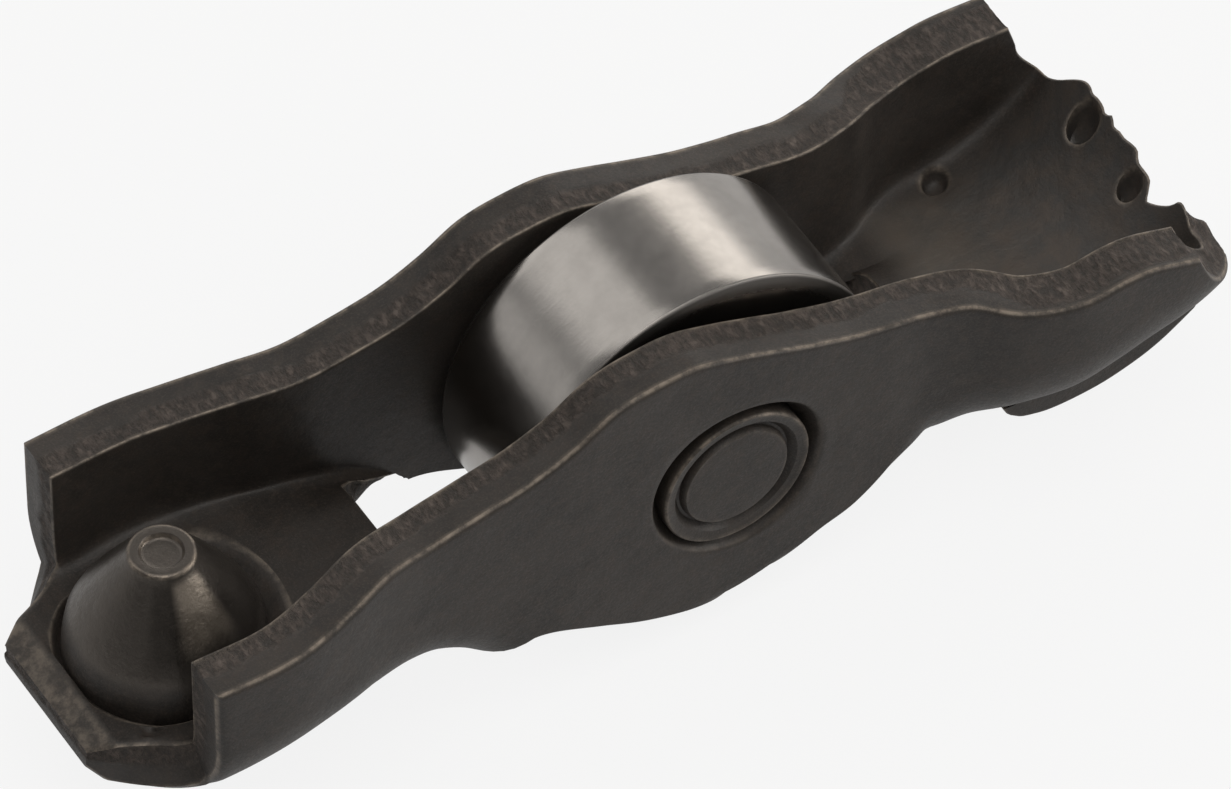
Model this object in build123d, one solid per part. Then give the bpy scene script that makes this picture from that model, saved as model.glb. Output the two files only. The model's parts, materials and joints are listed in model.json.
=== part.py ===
from build123d import *
from math import cos, pi, sin, sqrt
import os

# Roller finger follower (rocker arm) for a valve train, in millimetres.
#
# Frame: the origin is the centre of the pivot ball in its socket, +X runs along the arm to the
# valve, +Y is the axle's direction and +Z points up, away from the valve and the pivot.
#
# The arm is one stamping: a channel of thick sheet with a domed pivot socket at one end, a curved
# valve pad with two guide ears at the other and a window for the roller between. The roller runs
# on a full row of loose needles round an axle pin that is staked into both walls.

# ---------------------------------------------------------------- driving dimensions
# lever lengths: pivot ball to axle, and axle to the lowest line of the valve pad
axle_x = 24.3
axle_z = 2.2
axle_to_pad = 15.2

# sheet metal
sheet = 2.4
inner_bend_radius = 1.25
floor_underside_z = -1.6

# channel: the walls step outwards from the middle to both ends
roller_side_clearance = 0.6
pivot_end_step = 1.75
valve_end_step = 2.2
joggle_radius = 8.0
pivot_joggle_start = 2.6
pivot_joggle_length = 5.4
valve_joggle_length = 4.4
valve_joggle_past_pad = 0.1

# ends of the walls and of the floor
pivot_wall_end_x = -2.0
valve_wall_past_pad = 6.7
tongue_length = 3.85
tongue_tip_width = 6.9
tongue_root_width = 12.8
tongue_top_bevel = 0.9
tongue_bottom_bevel = 0.6

# top edge of the walls
pivot_rail_z = 6.2
valve_rail_z = 5.9
crest_height = 8.25
crest_lead = 3.4

# belly of the walls, under the axle
belly_depth = 7.35
belly_lead = 1.6

# floor window round the roller
window_pivot_clearance = 5.3
window_valve_clearance = 2.6
window_end_width = 4.8
window_flare = 1.3

# pivot dome and ball socket
ball_diameter = 6.35
socket_clearance = 0.025
socket_mouth_chamfer = 0.5
dome_top_z = 6.25
dome_top_radius = 1.45
dome_edge_chamfer = 0.2
dome_foot_radius = 4.25
dome_foot_rise = 0.5
dome_spot_radius = 0.93
dome_spot_depth = 0.25
moat_outer_radius = 4.8
moat_depth = 0.5

# valve pad
pad_radius = 12.4
pad_underside_z = -2.8
pad_end_past_pad = 9.5
ear_gap = 7.2
ear_thickness = 2.2
ear_before_pad = 1.5
ear_past_pad = 8.1
ear_drop = 1.0
notch_radius = 0.8
notch_spacing = 4.1
notch_inset = 0.45
notch_depth = 1.6
end_slant = 1.7
pit_radius = 0.47
pit_depth = 0.5
pit_past_pad = 2.1
pit_y = 5.0

# axle pin, needles and roller
pin_diameter = 7.2
pin_bore_clearance = 0.01
bore_chamfer = 0.6
stake_groove_radius = 2.95
stake_groove_width = 0.55
stake_groove_depth = 0.35
needle_count = 18
needle_gap = 0.02
needle_clearance = 0.03
needle_end_play = 0.15
roller_diameter = 17.5
roller_width = 6.8
roller_edge_chamfer = 0.35
roller_bore_chamfer = 0.3

# ---------------------------------------------------------------- worked-out sizes
pad_x = axle_x + axle_to_pad
channel_half = roller_width / 2 + roller_side_clearance
middle_width = 2 * (channel_half + sheet)
pivot_end_width = middle_width + 2 * pivot_end_step
valve_end_width = middle_width + 2 * valve_end_step
pivot_joggle_end = pivot_joggle_start + pivot_joggle_length
valve_joggle_end = pad_x + valve_joggle_past_pad
valve_joggle_start = valve_joggle_end - valve_joggle_length
valve_wall_end_x = pad_x + valve_wall_past_pad
tongue_tip_x = pivot_wall_end_x - tongue_length
pad_end_x = pad_x + pad_end_past_pad
ear_start_x = pad_x - ear_before_pad
ear_end_x = pad_x + ear_past_pad
pit_x = pad_x + pit_past_pad
outer_bend_radius = inner_bend_radius + sheet
floor_top_z = floor_underside_z + sheet
socket_radius = ball_diameter / 2 + socket_clearance
pad_centre_z = pad_underside_z + pad_radius
pad_top_radius = pad_radius - sheet
window_start_x = axle_x - roller_diameter / 2 - window_pivot_clearance
window_end_x = axle_x + roller_diameter / 2 + window_valve_clearance
pin_radius = pin_diameter / 2
needle_half_step = sin(pi / needle_count)
needle_radius = (
    (2 * (pin_radius + needle_clearance) * needle_half_step - needle_gap)
    / (2 - 2 * needle_half_step)
)
needle_pitch_radius = pin_radius + needle_clearance + needle_radius
roller_bore_radius = needle_pitch_radius + needle_radius + needle_clearance
needle_length = roller_width - 2 * needle_end_play
window_top_z = floor_top_z + inner_bend_radius + sheet / 4
trough_share = 0.86
shortest_run = 0.05
high = 30.0
low = -20.0
outside_reach = 20.0


def pad_z(x, radius):
    """Height of the pad's cylinder of this radius at x."""
    return pad_centre_z - sqrt(radius ** 2 - (x - pad_x) ** 2)


# ---------------------------------------------------------------- outlines
def channel_plan(inset, overrun):
    """Plan outline of the channel: wide, narrow round the roller and wide again."""
    one_side = FilletPolyline(
        (pivot_wall_end_x - overrun, pivot_end_width / 2),
        (pivot_joggle_start, pivot_end_width / 2),
        (pivot_joggle_end, middle_width / 2),
        (valve_joggle_start, middle_width / 2),
        (valve_joggle_end, valve_end_width / 2),
        (pad_end_x + sheet + overrun, valve_end_width / 2),
        radius=joggle_radius,
    )
    other_side = mirror(one_side, Plane.XZ)
    ends = [Line(one_side @ t, other_side @ t) for t in (0, 1)]
    outline = make_face([one_side, other_side, *ends])
    return offset(outline, -inset, kind=Kind.INTERSECTION) if inset else outline


def window_plan():
    """Plan outline of the floor window: full width round the roller, narrow at both ends."""
    end_half = window_end_width / 2
    one_side = [
        (window_start_x, end_half),
        (window_start_x + window_flare, channel_half),
        (window_end_x - window_flare, channel_half),
        (window_end_x, end_half),
    ]
    other_side = [(x, -y) for x, y in reversed(one_side)]
    return make_face(Polyline(*one_side, *other_side, close=True))


def tongue_plan():
    """Plan outline of the floor's tongue, which runs on past the walls' ends."""
    tip_half = tongue_tip_width / 2
    root_half = tongue_root_width / 2
    inside_x = pivot_wall_end_x + sheet
    one_side = [(tongue_tip_x, tip_half), (pivot_wall_end_x, root_half), (inside_x, root_half)]
    other_side = [(x, -y) for x, y in reversed(one_side)]
    return make_face(Polyline(*one_side, *other_side, close=True))


def crest_line():
    """Top edge of a wall, from the pivot end over the axle to the valve end."""
    crest_x = axle_x - crest_lead
    crest_z = axle_z + crest_height
    return Spline(
        (pivot_wall_end_x, pivot_rail_z),
        (pivot_wall_end_x + 6.3, pivot_rail_z + 0.35),
        (crest_x - 9.6, pivot_rail_z + 1.1),
        (crest_x - 6.1, crest_z - 2.35),
        (crest_x - 2.9, crest_z - 0.65),
        (crest_x, crest_z),
        (axle_x, crest_z - 0.65),
        (axle_x + 4.0, crest_z - 2.2),
        (axle_x + 8.0, valve_rail_z + 1.3),
        (pad_x - 3.2, valve_rail_z + 0.6),
        (pad_x, valve_rail_z - 0.05),
        (pad_x + 3.8, valve_rail_z + 0.1),
        (valve_wall_end_x - 0.5, valve_rail_z),
    )


def side_outline():
    """Side view of the channel down to the underside of its two floors."""
    top = crest_line()
    underside_start = (window_end_x, pad_z(window_end_x, pad_radius))
    underside_end = (pad_end_x, pad_z(pad_end_x, pad_radius))
    underside_low = (pad_x, pad_underside_z)
    wall_foot = (valve_wall_end_x + 0.4, pad_z(valve_wall_end_x + 0.4, pad_top_radius) + 1.2)
    outline = [
        top,
        Line(top @ 1, (valve_wall_end_x + 0.3, valve_rail_z - 1.1)),
        Line((valve_wall_end_x + 0.3, valve_rail_z - 1.1), wall_foot),
        Line(wall_foot, (pad_end_x - end_slant, pad_z(pad_end_x - end_slant, pad_top_radius))),
        Line((pad_end_x - end_slant, pad_z(pad_end_x - end_slant, pad_top_radius)), underside_end),
        ThreePointArc(underside_end, underside_low, underside_start),
        Line(underside_start, (window_start_x + sheet, floor_underside_z)),
        Line((window_start_x + sheet, floor_underside_z), (pivot_wall_end_x, floor_underside_z)),
        Line((pivot_wall_end_x, floor_underside_z), top @ 0),
    ]
    return make_face(outline)


def belly_outline():
    """Side view of the flat part of a wall: it dips below the floors under the axle."""
    belly_x = axle_x - belly_lead
    belly_z = axle_z - belly_depth
    lower = Spline(
        (window_start_x - 4.2, floor_underside_z + outer_bend_radius),
        (window_start_x - 0.6, floor_underside_z + 1.1),
        (window_start_x + 1.6, floor_underside_z - 0.3),
        (window_start_x + 4.6, floor_underside_z - 1.25),
        (belly_x - 3.4, belly_z + 0.95),
        (belly_x, belly_z),
        (axle_x + 2.2, belly_z + 0.6),
        (axle_x + 6.1, belly_z + 2.1),
        (window_end_x - 3.0, belly_z + 4.1),
        (window_end_x, floor_underside_z + 1.1),
        (valve_joggle_end - 1.6, floor_underside_z + outer_bend_radius),
    )
    upper = Line(lower @ 1, lower @ 0)
    return make_face([lower, upper])


def flat_floor_space():
    """Side view of the space above the flat floor at the pivot end."""
    return make_face(
        Polyline(
            (pivot_wall_end_x - outside_reach, floor_top_z),
            (window_end_x - window_flare, floor_top_z),
            (window_end_x - window_flare, high),
            (pivot_wall_end_x - outside_reach, high),
            close=True,
        )
    )


def trough_space():
    """Side view of the space above the pad's trough at the valve end."""
    reach = pad_top_radius * trough_share
    start = (pad_x - reach, pad_z(pad_x - reach, pad_top_radius))
    end = (pad_x + reach, pad_z(pad_x + reach, pad_top_radius))
    bottom = ThreePointArc(start, (pad_x, pad_underside_z + sheet), end)
    return make_face([bottom, Polyline(end, (end[0], high), (start[0], high), start)])


def ear_outline():
    """Side view of a guide ear, from the middle of the pad's sheet down to its lower edge."""
    middle_radius = pad_radius - sheet / 2
    root_start = (ear_start_x, pad_z(ear_start_x, middle_radius))
    root_end = (ear_end_x, pad_z(ear_end_x, middle_radius))
    ear_low_z = pad_underside_z - ear_drop
    lower = Spline(
        root_start,
        (ear_start_x + 0.8, ear_low_z + 0.9),
        (pad_x + 0.6, ear_low_z),
        (pad_x + 3.4, ear_low_z + 0.2),
        (ear_end_x - 1.8, ear_low_z + 1.0),
        (ear_end_x + 0.4, ear_low_z + 2.1),
    )
    return make_face([lower, Line(lower @ 1, root_end), Line(root_end, root_start)])


def along_y(outline, width):
    """Solid of a side-view outline, extruded both ways along Y."""
    return extrude(Plane.XZ * outline, amount=width / 2, both=True)


def round_bar(radius, length):
    """Cylinder along the axle, centred on it."""
    return Pos(axle_x, 0, axle_z) * Rot(90, 0, 0) * Cylinder(radius, length)


def turned_on_axle(profile):
    """Ring or pin turned from a profile whose x is the radius and whose y runs along the axle."""
    return Pos(axle_x, 0, axle_z) * Rot(90, 0, 0) * revolve(Plane.XZ * profile, Axis.Z)


# ---------------------------------------------------------------- arm
def channel():
    """Channel of even sheet: its outside less its inside, with the bends' radii at the foot."""
    outside = extrude(Pos(0, 0, low) * channel_plan(0, 0), amount=high - low)
    outside = outside & along_y(side_outline(), 2 * valve_end_width)
    outside = fillet(foot_edges(outside, floor_top_z - sheet / 2), outer_bend_radius)
    for space in (flat_floor_space(), trough_space()):
        inside = extrude(Pos(0, 0, low) * channel_plan(sheet, outside_reach), amount=high - low)
        inside = inside & along_y(space, 2 * valve_end_width)
        foot = foot_edges(inside, pad_centre_z - sheet)
        outside = outside - fillet(foot, inner_bend_radius)
    return outside


def foot_edges(block, top_z):
    """Long bottom edges of a block, where a floor meets a wall."""
    return [
        edge
        for edge in block.edges()
        if edge.center().Z < top_z
        and abs(edge.center().Y) > channel_half - sheet / 4
        and edge.bounding_box().size.X > shortest_run
    ]


def wall_bellies():
    """Flat lower parts of both walls, which dip below the floors under the axle."""
    band = channel_plan(0, 0) - channel_plan(sheet, outside_reach)
    walls = extrude(Pos(0, 0, low) * band, amount=high - low)
    return walls & along_y(belly_outline(), 2 * valve_end_width)


def tongue():
    """Tongue of the floor with its sheared, two-sided bevel at the tip."""
    slab = extrude(Pos(0, 0, floor_underside_z) * tongue_plan(), amount=sheet)
    tip_edges = slab.edges().filter_by(Axis.Y).group_by(Axis.X)[0].sort_by(Axis.Z)
    slab = chamfer(tip_edges[-1], tongue_top_bevel)
    tip_edges = slab.edges().filter_by(Axis.Y).group_by(Axis.X)[0].sort_by(Axis.Z)
    return chamfer(tip_edges[0], tongue_bottom_bevel)


def dome():
    """Cone over the pivot with a broken top edge and a coined spot in its flat top."""
    foot_z = floor_top_z + dome_foot_rise
    foot_wall_x = dome_foot_radius + dome_foot_rise / 4
    profile = Polyline(
        (0, floor_underside_z),
        (foot_wall_x, floor_underside_z),
        (foot_wall_x, floor_top_z - moat_depth),
        (dome_foot_radius, foot_z),
        (dome_top_radius, dome_top_z),
        (0, dome_top_z),
        close=True,
    )
    cone = revolve(Plane.XZ * make_face(profile), Axis.Z)
    top_edge = cone.edges().filter_by(GeomType.CIRCLE).sort_by(Axis.Z)[-1]
    cone = chamfer(top_edge, dome_edge_chamfer)
    spot = Pos(0, 0, dome_top_z) * Cylinder(dome_spot_radius, 2 * dome_spot_depth)
    return cone - spot


def moat():
    """Groove pressed into the floor round the dome's foot."""
    return Pos(0, 0, floor_top_z) * Cylinder(moat_outer_radius, 2 * moat_depth)


def socket():
    """Ball socket under the dome: a half ball on a short straight mouth, with a lead-in."""
    mouth_depth = -floor_underside_z
    mouth_radius = socket_radius + socket_mouth_chamfer
    profile = [
        Polyline(
            (0, socket_radius),
            (0, -mouth_depth - sheet),
            (mouth_radius, -mouth_depth - sheet),
            (mouth_radius, -mouth_depth),
            (socket_radius, -mouth_depth + socket_mouth_chamfer),
            (socket_radius, 0),
        ),
        CenterArc((0, 0), socket_radius, 0, 90),
    ]
    return revolve(Plane.XZ * make_face(profile), Axis.Z)


def guide_ears():
    """Two ears under the pad, which keep the valve stem between them."""
    ear = along_y(ear_outline(), ear_thickness)
    middle_y = (ear_gap + ear_thickness) / 2
    return Pos(0, middle_y, 0) * ear + Pos(0, -middle_y, 0) * ear


def pad_pit(x, y, radius, depth):
    """Round pit sunk square to the pad's trough at x and y."""
    mouth = Vector(x, y, pad_z(x, pad_top_radius))
    outward = Vector(pad_x - x, 0, pad_centre_z - mouth.Z)
    return Plane(origin=mouth, z_dir=outward) * Cylinder(radius, 2 * depth)


def axle_bore():
    """Bore through both walls with a lead-in at each outer face."""
    bore_radius = pin_radius + pin_bore_clearance
    half = middle_width / 2
    profile = Polyline(
        (0, -half),
        (bore_radius + bore_chamfer, -half),
        (bore_radius, -half + bore_chamfer),
        (bore_radius, half - bore_chamfer),
        (bore_radius + bore_chamfer, half),
        (0, half),
        close=True,
    )
    return turned_on_axle(make_face(profile))


def arm_body():
    """The whole stamping."""
    body = channel() - extrude(Pos(0, 0, low) * window_plan(), amount=window_top_z - low)
    body = body + wall_bellies() + tongue()
    body = body - moat() + dome() - socket()
    body = body + guide_ears()
    notch_x = pad_end_x - end_slant - notch_inset
    for side in (-1, 1):
        body = body - pad_pit(notch_x, side * notch_spacing / 2, notch_radius, notch_depth)
    body = body - pad_pit(pit_x, pit_y, pit_radius, pit_depth)
    return body - axle_bore()


# ---------------------------------------------------------------- bearing
def axle_pin():
    """Hardened pin, flush with both walls, with a staking groove in each end."""
    half = middle_width / 2
    groove_half = stake_groove_width / 2
    pin = round_bar(pin_radius, middle_width)
    for side in (-1, 1):
        groove = Polyline(
            (stake_groove_radius - groove_half, side * half),
            (stake_groove_radius, side * (half - stake_groove_depth)),
            (stake_groove_radius + groove_half, side * half),
            close=True,
        )
        pin = pin - turned_on_axle(make_face(groove))
    return pin


def roller_ring():
    """Ground roller with broken edges outside and at the bore."""
    half = roller_width / 2
    radius = roller_diameter / 2
    profile = Polyline(
        (roller_bore_radius, -half + roller_bore_chamfer),
        (roller_bore_radius + roller_bore_chamfer, -half),
        (radius - roller_edge_chamfer, -half),
        (radius, -half + roller_edge_chamfer),
        (radius, half - roller_edge_chamfer),
        (radius - roller_edge_chamfer, half),
        (roller_bore_radius + roller_bore_chamfer, half),
        (roller_bore_radius, half - roller_bore_chamfer),
        close=True,
    )
    return turned_on_axle(make_face(profile))


def needle(index):
    """One loose needle of the row."""
    angle = 2 * pi * index / needle_count
    rod = Rot(90, 0, 0) * Cylinder(needle_radius, needle_length)
    centre_x = axle_x + needle_pitch_radius * cos(angle)
    centre_z = axle_z + needle_pitch_radius * sin(angle)
    return Pos(centre_x, 0, centre_z) * rod


# ---------------------------------------------------------------- build
def main():
    os.makedirs("parts", exist_ok=True)
    nodes = {"arm_body": arm_body(), "axle_pin": axle_pin(), "roller_ring": roller_ring()}
    for index in range(needle_count):
        nodes[f"needle_{index + 1:02d}"] = needle(index)
    for name, solid in nodes.items():
        export_step(solid, f"parts/{name}.step")


if __name__ == "__main__":
    main()
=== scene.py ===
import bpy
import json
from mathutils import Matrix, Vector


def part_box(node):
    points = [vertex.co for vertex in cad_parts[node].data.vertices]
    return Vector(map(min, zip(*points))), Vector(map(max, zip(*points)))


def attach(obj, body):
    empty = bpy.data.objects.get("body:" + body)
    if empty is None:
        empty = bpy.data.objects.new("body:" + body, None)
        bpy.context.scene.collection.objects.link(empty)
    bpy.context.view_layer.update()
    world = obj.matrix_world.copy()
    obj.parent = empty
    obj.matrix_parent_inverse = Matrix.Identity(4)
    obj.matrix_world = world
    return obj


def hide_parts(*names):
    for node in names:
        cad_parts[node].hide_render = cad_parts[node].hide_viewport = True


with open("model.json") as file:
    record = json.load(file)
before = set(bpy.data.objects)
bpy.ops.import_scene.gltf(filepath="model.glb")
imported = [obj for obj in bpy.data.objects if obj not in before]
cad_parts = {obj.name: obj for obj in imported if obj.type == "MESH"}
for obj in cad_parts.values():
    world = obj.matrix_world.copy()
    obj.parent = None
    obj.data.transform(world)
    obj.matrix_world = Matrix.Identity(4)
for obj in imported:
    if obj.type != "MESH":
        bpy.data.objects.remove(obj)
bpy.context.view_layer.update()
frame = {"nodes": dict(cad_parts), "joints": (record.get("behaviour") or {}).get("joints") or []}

import json
from math import pi

import bpy
import numpy as np
from bpy.props import FloatProperty, FloatVectorProperty, IntProperty, PointerProperty
from bpy.types import Operator, Panel, PropertyGroup
from mathutils import Matrix, Vector

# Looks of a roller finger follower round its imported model. Shapes are worked out in millimetres,
# in the part's own frame: the origin is the centre of the pivot ball, +X points to the valve,
# +Y along the axle and +Z up. Meshes are stored in metres.

bl_info = {
    "name": "Roller finger follower",
    "version": (1, 0, 0),
    "blender": (4, 5, 0),
    "location": "3D View > Sidebar > Follower",
    "description": "Builds the stamped arm, pin, roller and studio of a roller finger follower",
    "category": "Add Mesh",
}

MM = 0.001

# ---------------------------------------------------------------- sizes taken from the frame
AXLE = [1000 * value for value in frame["joints"][0]["pos_m"]]
PIN_LOW, PIN_HIGH = [1000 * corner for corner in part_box("axle_pin")]
ROLLER_LOW, ROLLER_HIGH = [1000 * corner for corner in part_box("roller_ring")]
ARM_LOW = 1000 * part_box("arm_body")[0]
PIN_RADIUS = (PIN_HIGH.x - PIN_LOW.x) / 2
ROLLER_RADIUS = (ROLLER_HIGH.x - ROLLER_LOW.x) / 2
ROLLER_HALF_WIDTH = ROLLER_HIGH.y
MIDDLE_HALF_WIDTH = PIN_HIGH.y

# ---------------------------------------------------------------- lines of the stamping, in mm
# Each line is a few (x, value) points that smooth_line joins.
HALF_WIDTH = (
    (-2.0, 8.14), (2.0, 8.12), (4.3, 7.61), (6.8, 6.89), (9.3, 6.5), (12.0, MIDDLE_HALF_WIDTH),
    (17.0, MIDDLE_HALF_WIDTH), (31.5, MIDDLE_HALF_WIDTH), (34.3, 6.44), (36.3, 6.92),
    (38.3, 7.92), (40.3, 8.48), (42.5, 8.58), (47.0, 8.58),
)
WALL_TOP = (
    (-2.0, 6.16), (1.3, 6.24), (4.3, 6.58), (6.8, 7.03), (9.3, 7.11), (11.8, 7.48), (14.3, 8.0),
    (16.3, 8.83), (18.3, 10.01), (20.3, 10.41), (22.3, 10.43), (24.3, 9.85), (26.3, 9.09),
    (28.3, 8.31), (30.3, 7.66), (32.3, 7.22), (34.3, 6.82), (36.3, 6.56), (38.3, 5.92),
    (40.3, 5.75), (42.8, 6.02), (45.7, 5.91),
)
FAR_RISE = ((-2.0, 0.12), (14.0, 0.12), (20.0, 0.0), (26.0, 0.0), (31.0, 0.2), (45.0, 0.24))
WALL_LOW = (
    (9.8, -0.6), (11.3, -1.95), (12.5, -2.1), (14.5, -2.1), (17.5, -3.35), (19.5, -4.3),
    (22.5, -5.15), (26.5, -4.56), (28.4, -3.87), (30.45, -3.04), (31.5, -2.23), (32.5, -1.18),
    (33.5, -0.8), (36.0, -0.6),
)
FLOOR_LINE = (
    (-5.85, -0.42), (-3.6, -0.58), (-1.5, -0.72), (2.0, -0.35), (5.5, 0.12), (9.0, 0.3),
    (14.0, 0.3),
)
SIDE_LINE = (
    (6.0, 0.16), (8.4, 0.0), (10.5, -0.66), (12.5, -1.98), (14.5, -4.1), (16.8, -7.2),
    (18.6, -8.4), (19.2, -8.4), (29.3, -8.4), (29.6, -8.3), (31.5, -4.4), (33.5, -1.8),
    (35.3, -1.75), (37.0, -1.65), (39.5, -1.6),
)
BEND_RADIUS = (
    (-5.85, 2.9), (2.0, 2.8), (6.5, 1.85), (10.5, 1.8), (31.0, 1.9), (33.5, 2.3), (35.3, 2.9),
    (37.0, 3.4), (39.0, 4.0), (41.0, 4.2), (49.0, 4.2),
)
INNER_CORNER = (
    (-5.85, 0.75), (6.0, 0.7), (12.0, 0.4), (30.0, 0.3), (35.0, 0.75), (39.0, 1.0), (49.0, 1.0),
)
TONGUE_SIDE = ((-5.85, 3.45), (-3.4, 5.25), (-2.0, 6.5))
VALVE_END = (
    (-12.5, 45.7), (-11.3, 45.85), (-10.2, 46.3), (-9.2, 46.8), (-8.4, 47.4), (-7.6, 48.0),
    (-6.9, 48.3), (-6.2, 48.45), (-5.6, 48.7), (-5.15, 48.8), (-4.7, 48.75), (-4.3, 48.5),
    (-3.9, 48.3), (-3.3, 48.05), (-3.0, 47.97), (-2.75, 48.2), (-2.4, 48.48), (-2.0, 48.55),
    (-1.6, 48.56), (-1.3, 48.6), (-1.0, 48.78), (-0.6, 48.8), (0.0, 48.74), (0.45, 48.76),
    (0.75, 48.72), (1.2, 48.9), (1.5, 48.78), (1.85, 48.88), (2.3, 48.92), (2.8, 48.9),
    (3.3, 48.98), (4.2, 48.9), (5.1, 48.5), (5.7, 48.05), (6.2, 47.7), (6.8, 47.45),
    (7.7, 47.05), (9.25, 46.4), (10.2, 46.1), (11.0, 45.85), (12.5, 45.6),
)
EAR_LOW = (
    (37.9, -1.75), (38.2, -2.6), (38.8, -3.3), (39.8, -3.74), (41.5, -3.95), (44.0, -3.68),
    (46.0, -2.9), (48.1, -1.5),
)
# Where a wall's root lies between the window's edge and the wall's top, and where the dome's
# side line lies between the window's edge and that root.
ROOT_SHARE = ((-2.0, 0.4), (8.0, 0.33), (13.0, 0.16), (18.0, 0.06), (30.0, 0.06), (36.0, 0.3))
DOME_SHARE = (
    (-5.85, 0.3), (-4.62, 0.36), (-3.4, 0.5), (-2.0, 0.6), (0.0, 0.66), (5.6, 0.76),
    (9.0, 0.55), (47.0, 0.55),
)

# ---------------------------------------------------------------- sizes of the stamping, in mm
SHEET = 2.4
LEVEL_HALF = 1.5
WALL_END_X = -2.0
TONGUE_TIP_X = -5.84
WINDOW_START_X = 10.25
WINDOW_MIDDLE_X = 24.0
WINDOW_END_X = 35.65
WINDOW_END_HALF = 2.4
WINDOW_START_FLARE = 1.25
WINDOW_END_FLARE = 2.0
PAD_X = 39.5
PAD_CENTRE_Z = 9.6
PAD_MIDDLE_RADIUS = 11.2
PAD_ARC_SHARE = 0.95
PAD_SLOPE_SHARE = 0.9

# the inside corner of a bend: its power before and after a stretch of the arm
CORNER_POWER = (7.0, 8.0)
CORNER_BLEND_X = 30.0
CORNER_BLEND = 8.0

# the valve end: where its columns turn to its edge, its sag on the near side and its upright cut
END_BLEND_X = 41.0
END_ROWS_X = 46.5
SAG_DEPTH = 1.2
SAG_X = 43.0
SAG_LENGTH = 5.5
SAG_ACROSS = 3.0
SAG_WIDTH = 3.5
CUT_ACROSS = 5.2
CUT_WIDTH = 2.2

# rims and corners: full wear lies on the edge itself and fades over the worn width
FAR_END_ROUND = 0.12
WORN_WIDTH = 0.05
FULL_TORN_X = 36.9
FULL_TORN_FADE = 1.8
FULL_TORN_SHARE = 0.92
RIM_TORN_SHARE = 0.55
RIM_SOFTNESS = 0.1
RIM_WORN_SHARE = 0.02
RIM_TORN_END = 1.04

# noises of a sheared rim, as amount, cell size and seed: where its torn band starts, its swell,
# and the band's streaks, which run along a stretch, and chips on top of a constant depth
RIM_BORDER = ((0.1, 2.6, 1), (0.07, 0.5, 9))
RIM_SWELL = ((0.015, 1.1, 4),)
RIM_STRETCH = (1, 0.5, 0.8)
RIM_STREAKS = ((0.55, 0.36, 2),)
RIM_CHIPS = ((0.4, 0.24, 3),)
RIM_CONSTANT = 0.6

# the tongue: drop of its upper and lower bevel, how far back each reaches, and its pressed oval
NOSE_TOP = (0.5, 1.08)
NOSE_LOW = (0.85, 0.8)
BEVEL_WEAR = 0.5
BEVEL_END = 1.1
BEVEL_FADE = 0.15
OVAL_PLACE = (-3.0, -4.18)
OVAL_HALF = (0.55, 0.42)
OVAL_DEPTH = 0.14
OVAL_RIM = 0.05
OVAL_RIM_AT = 1.3
OVAL_RIM_WIDTH = 0.3

# shallow dents of the sheet: depth, cell size, seed
DENTS = ((0.03, 4.0, 5), (0.012, 1.3, 6))

# the pin bores, in boxes of the grid; rows beside a bore keep to these shares of the wall
BORE_BOX_HALF = 4.75
BORE_BOX = (AXLE[0] - BORE_BOX_HALF, AXLE[0] + BORE_BOX_HALF)
BORE_BOX_BLEND = 5.5
BORE_RADIUS = PIN_RADIUS + 0.01
BORE_CHAMFER = 0.6
BORE_MOUTH = BORE_RADIUS + BORE_CHAMFER
LOWER_SHARE = 0.33
LOWER_LIMITS = (0.02, 0.4)
UPPER_SHARE = 0.7
UPPER_LIMITS = (0.5, 0.95)

# rings of a bore in the inner face and in the outer one: radius, depth, wear
BORE_INNER_RINGS = ((BORE_RADIUS + 0.1, 0.0, 0.3), (BORE_RADIUS, 0.1, 0.3))
BORE_OUTER_RINGS = (
    (BORE_MOUTH + 0.12, 0.0, 0.0), (BORE_MOUTH, 0.07, 0.2), (BORE_MOUTH - 0.1, 0.3, 0.0),
    (BORE_RADIUS, 0.95, 0.0),
)

# the dome, its moat and the socket under it
DOME_BOX = (-4.62, 5.6)
DOME_SHRINK = 0.996
DOME_PROFILE = (
    (4.42, 0.1), (4.38, 0.6), (4.31, 1.2), (4.2, 1.8), (3.92, 2.38), (3.6, 2.92), (3.2, 3.54),
    (2.8, 4.14), (2.4, 4.72), (2.0, 5.3), (1.66, 5.8), (1.53, 6.02), (1.47, 6.14), (1.4, 6.2),
    (1.3, 6.22), (1.1, 6.22), (0.99, 6.21), (0.94, 6.16), (0.9, 6.05), (0.84, 5.99), (0.7, 5.97),
    (0.4, 5.97),
)
WORN_DOME_POINTS = (12, 13, 17, 18)
DOME_WOBBLE = ((0.02, 0.9, 7),)
DOME_ROOT_DEPTH = 0.5
MOAT_RINGS = ((0.0, 0.0), (0.25, 0.06), (0.5, 0.22), (0.75, 0.4), (1.0, 0.47))
MOAT_INNER = 4.45
MOAT_OUTER = 4.9
MOAT_STRETCH = 0.6
MOAT_WEAR = 0.6
SOCKET_RADIUS = 3.2
SOCKET_LEAD_IN = 0.5
SOCKET_MOUTH_Z = -1.5
BALL_ANGLES = np.radians(np.arange(9, 82, 9))

# pits of the inner face: (place along, place across), radius, depth
PITS = (((48.12, 2.2), 0.8, 1.2), ((41.65, 5.6), 0.68, 0.6), ((47.92, -1.75), 0.62, 1.0))
PIT_ROOM_BEHIND = 0.35
PIT_ROOM = 0.3

# rings of a pit: share of its radius and a step, share of its depth and a step, wear
PIT_RINGS = (
    (1, 0.12, 0, 0, 0.2), (1, 0, 0, 0.06, 0.8), (1, -0.1, 0.4, 0, 0), (1, -0.22, 0.85, 0, 0),
    (0.45, 0, 1, 0, 0),
)

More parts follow.
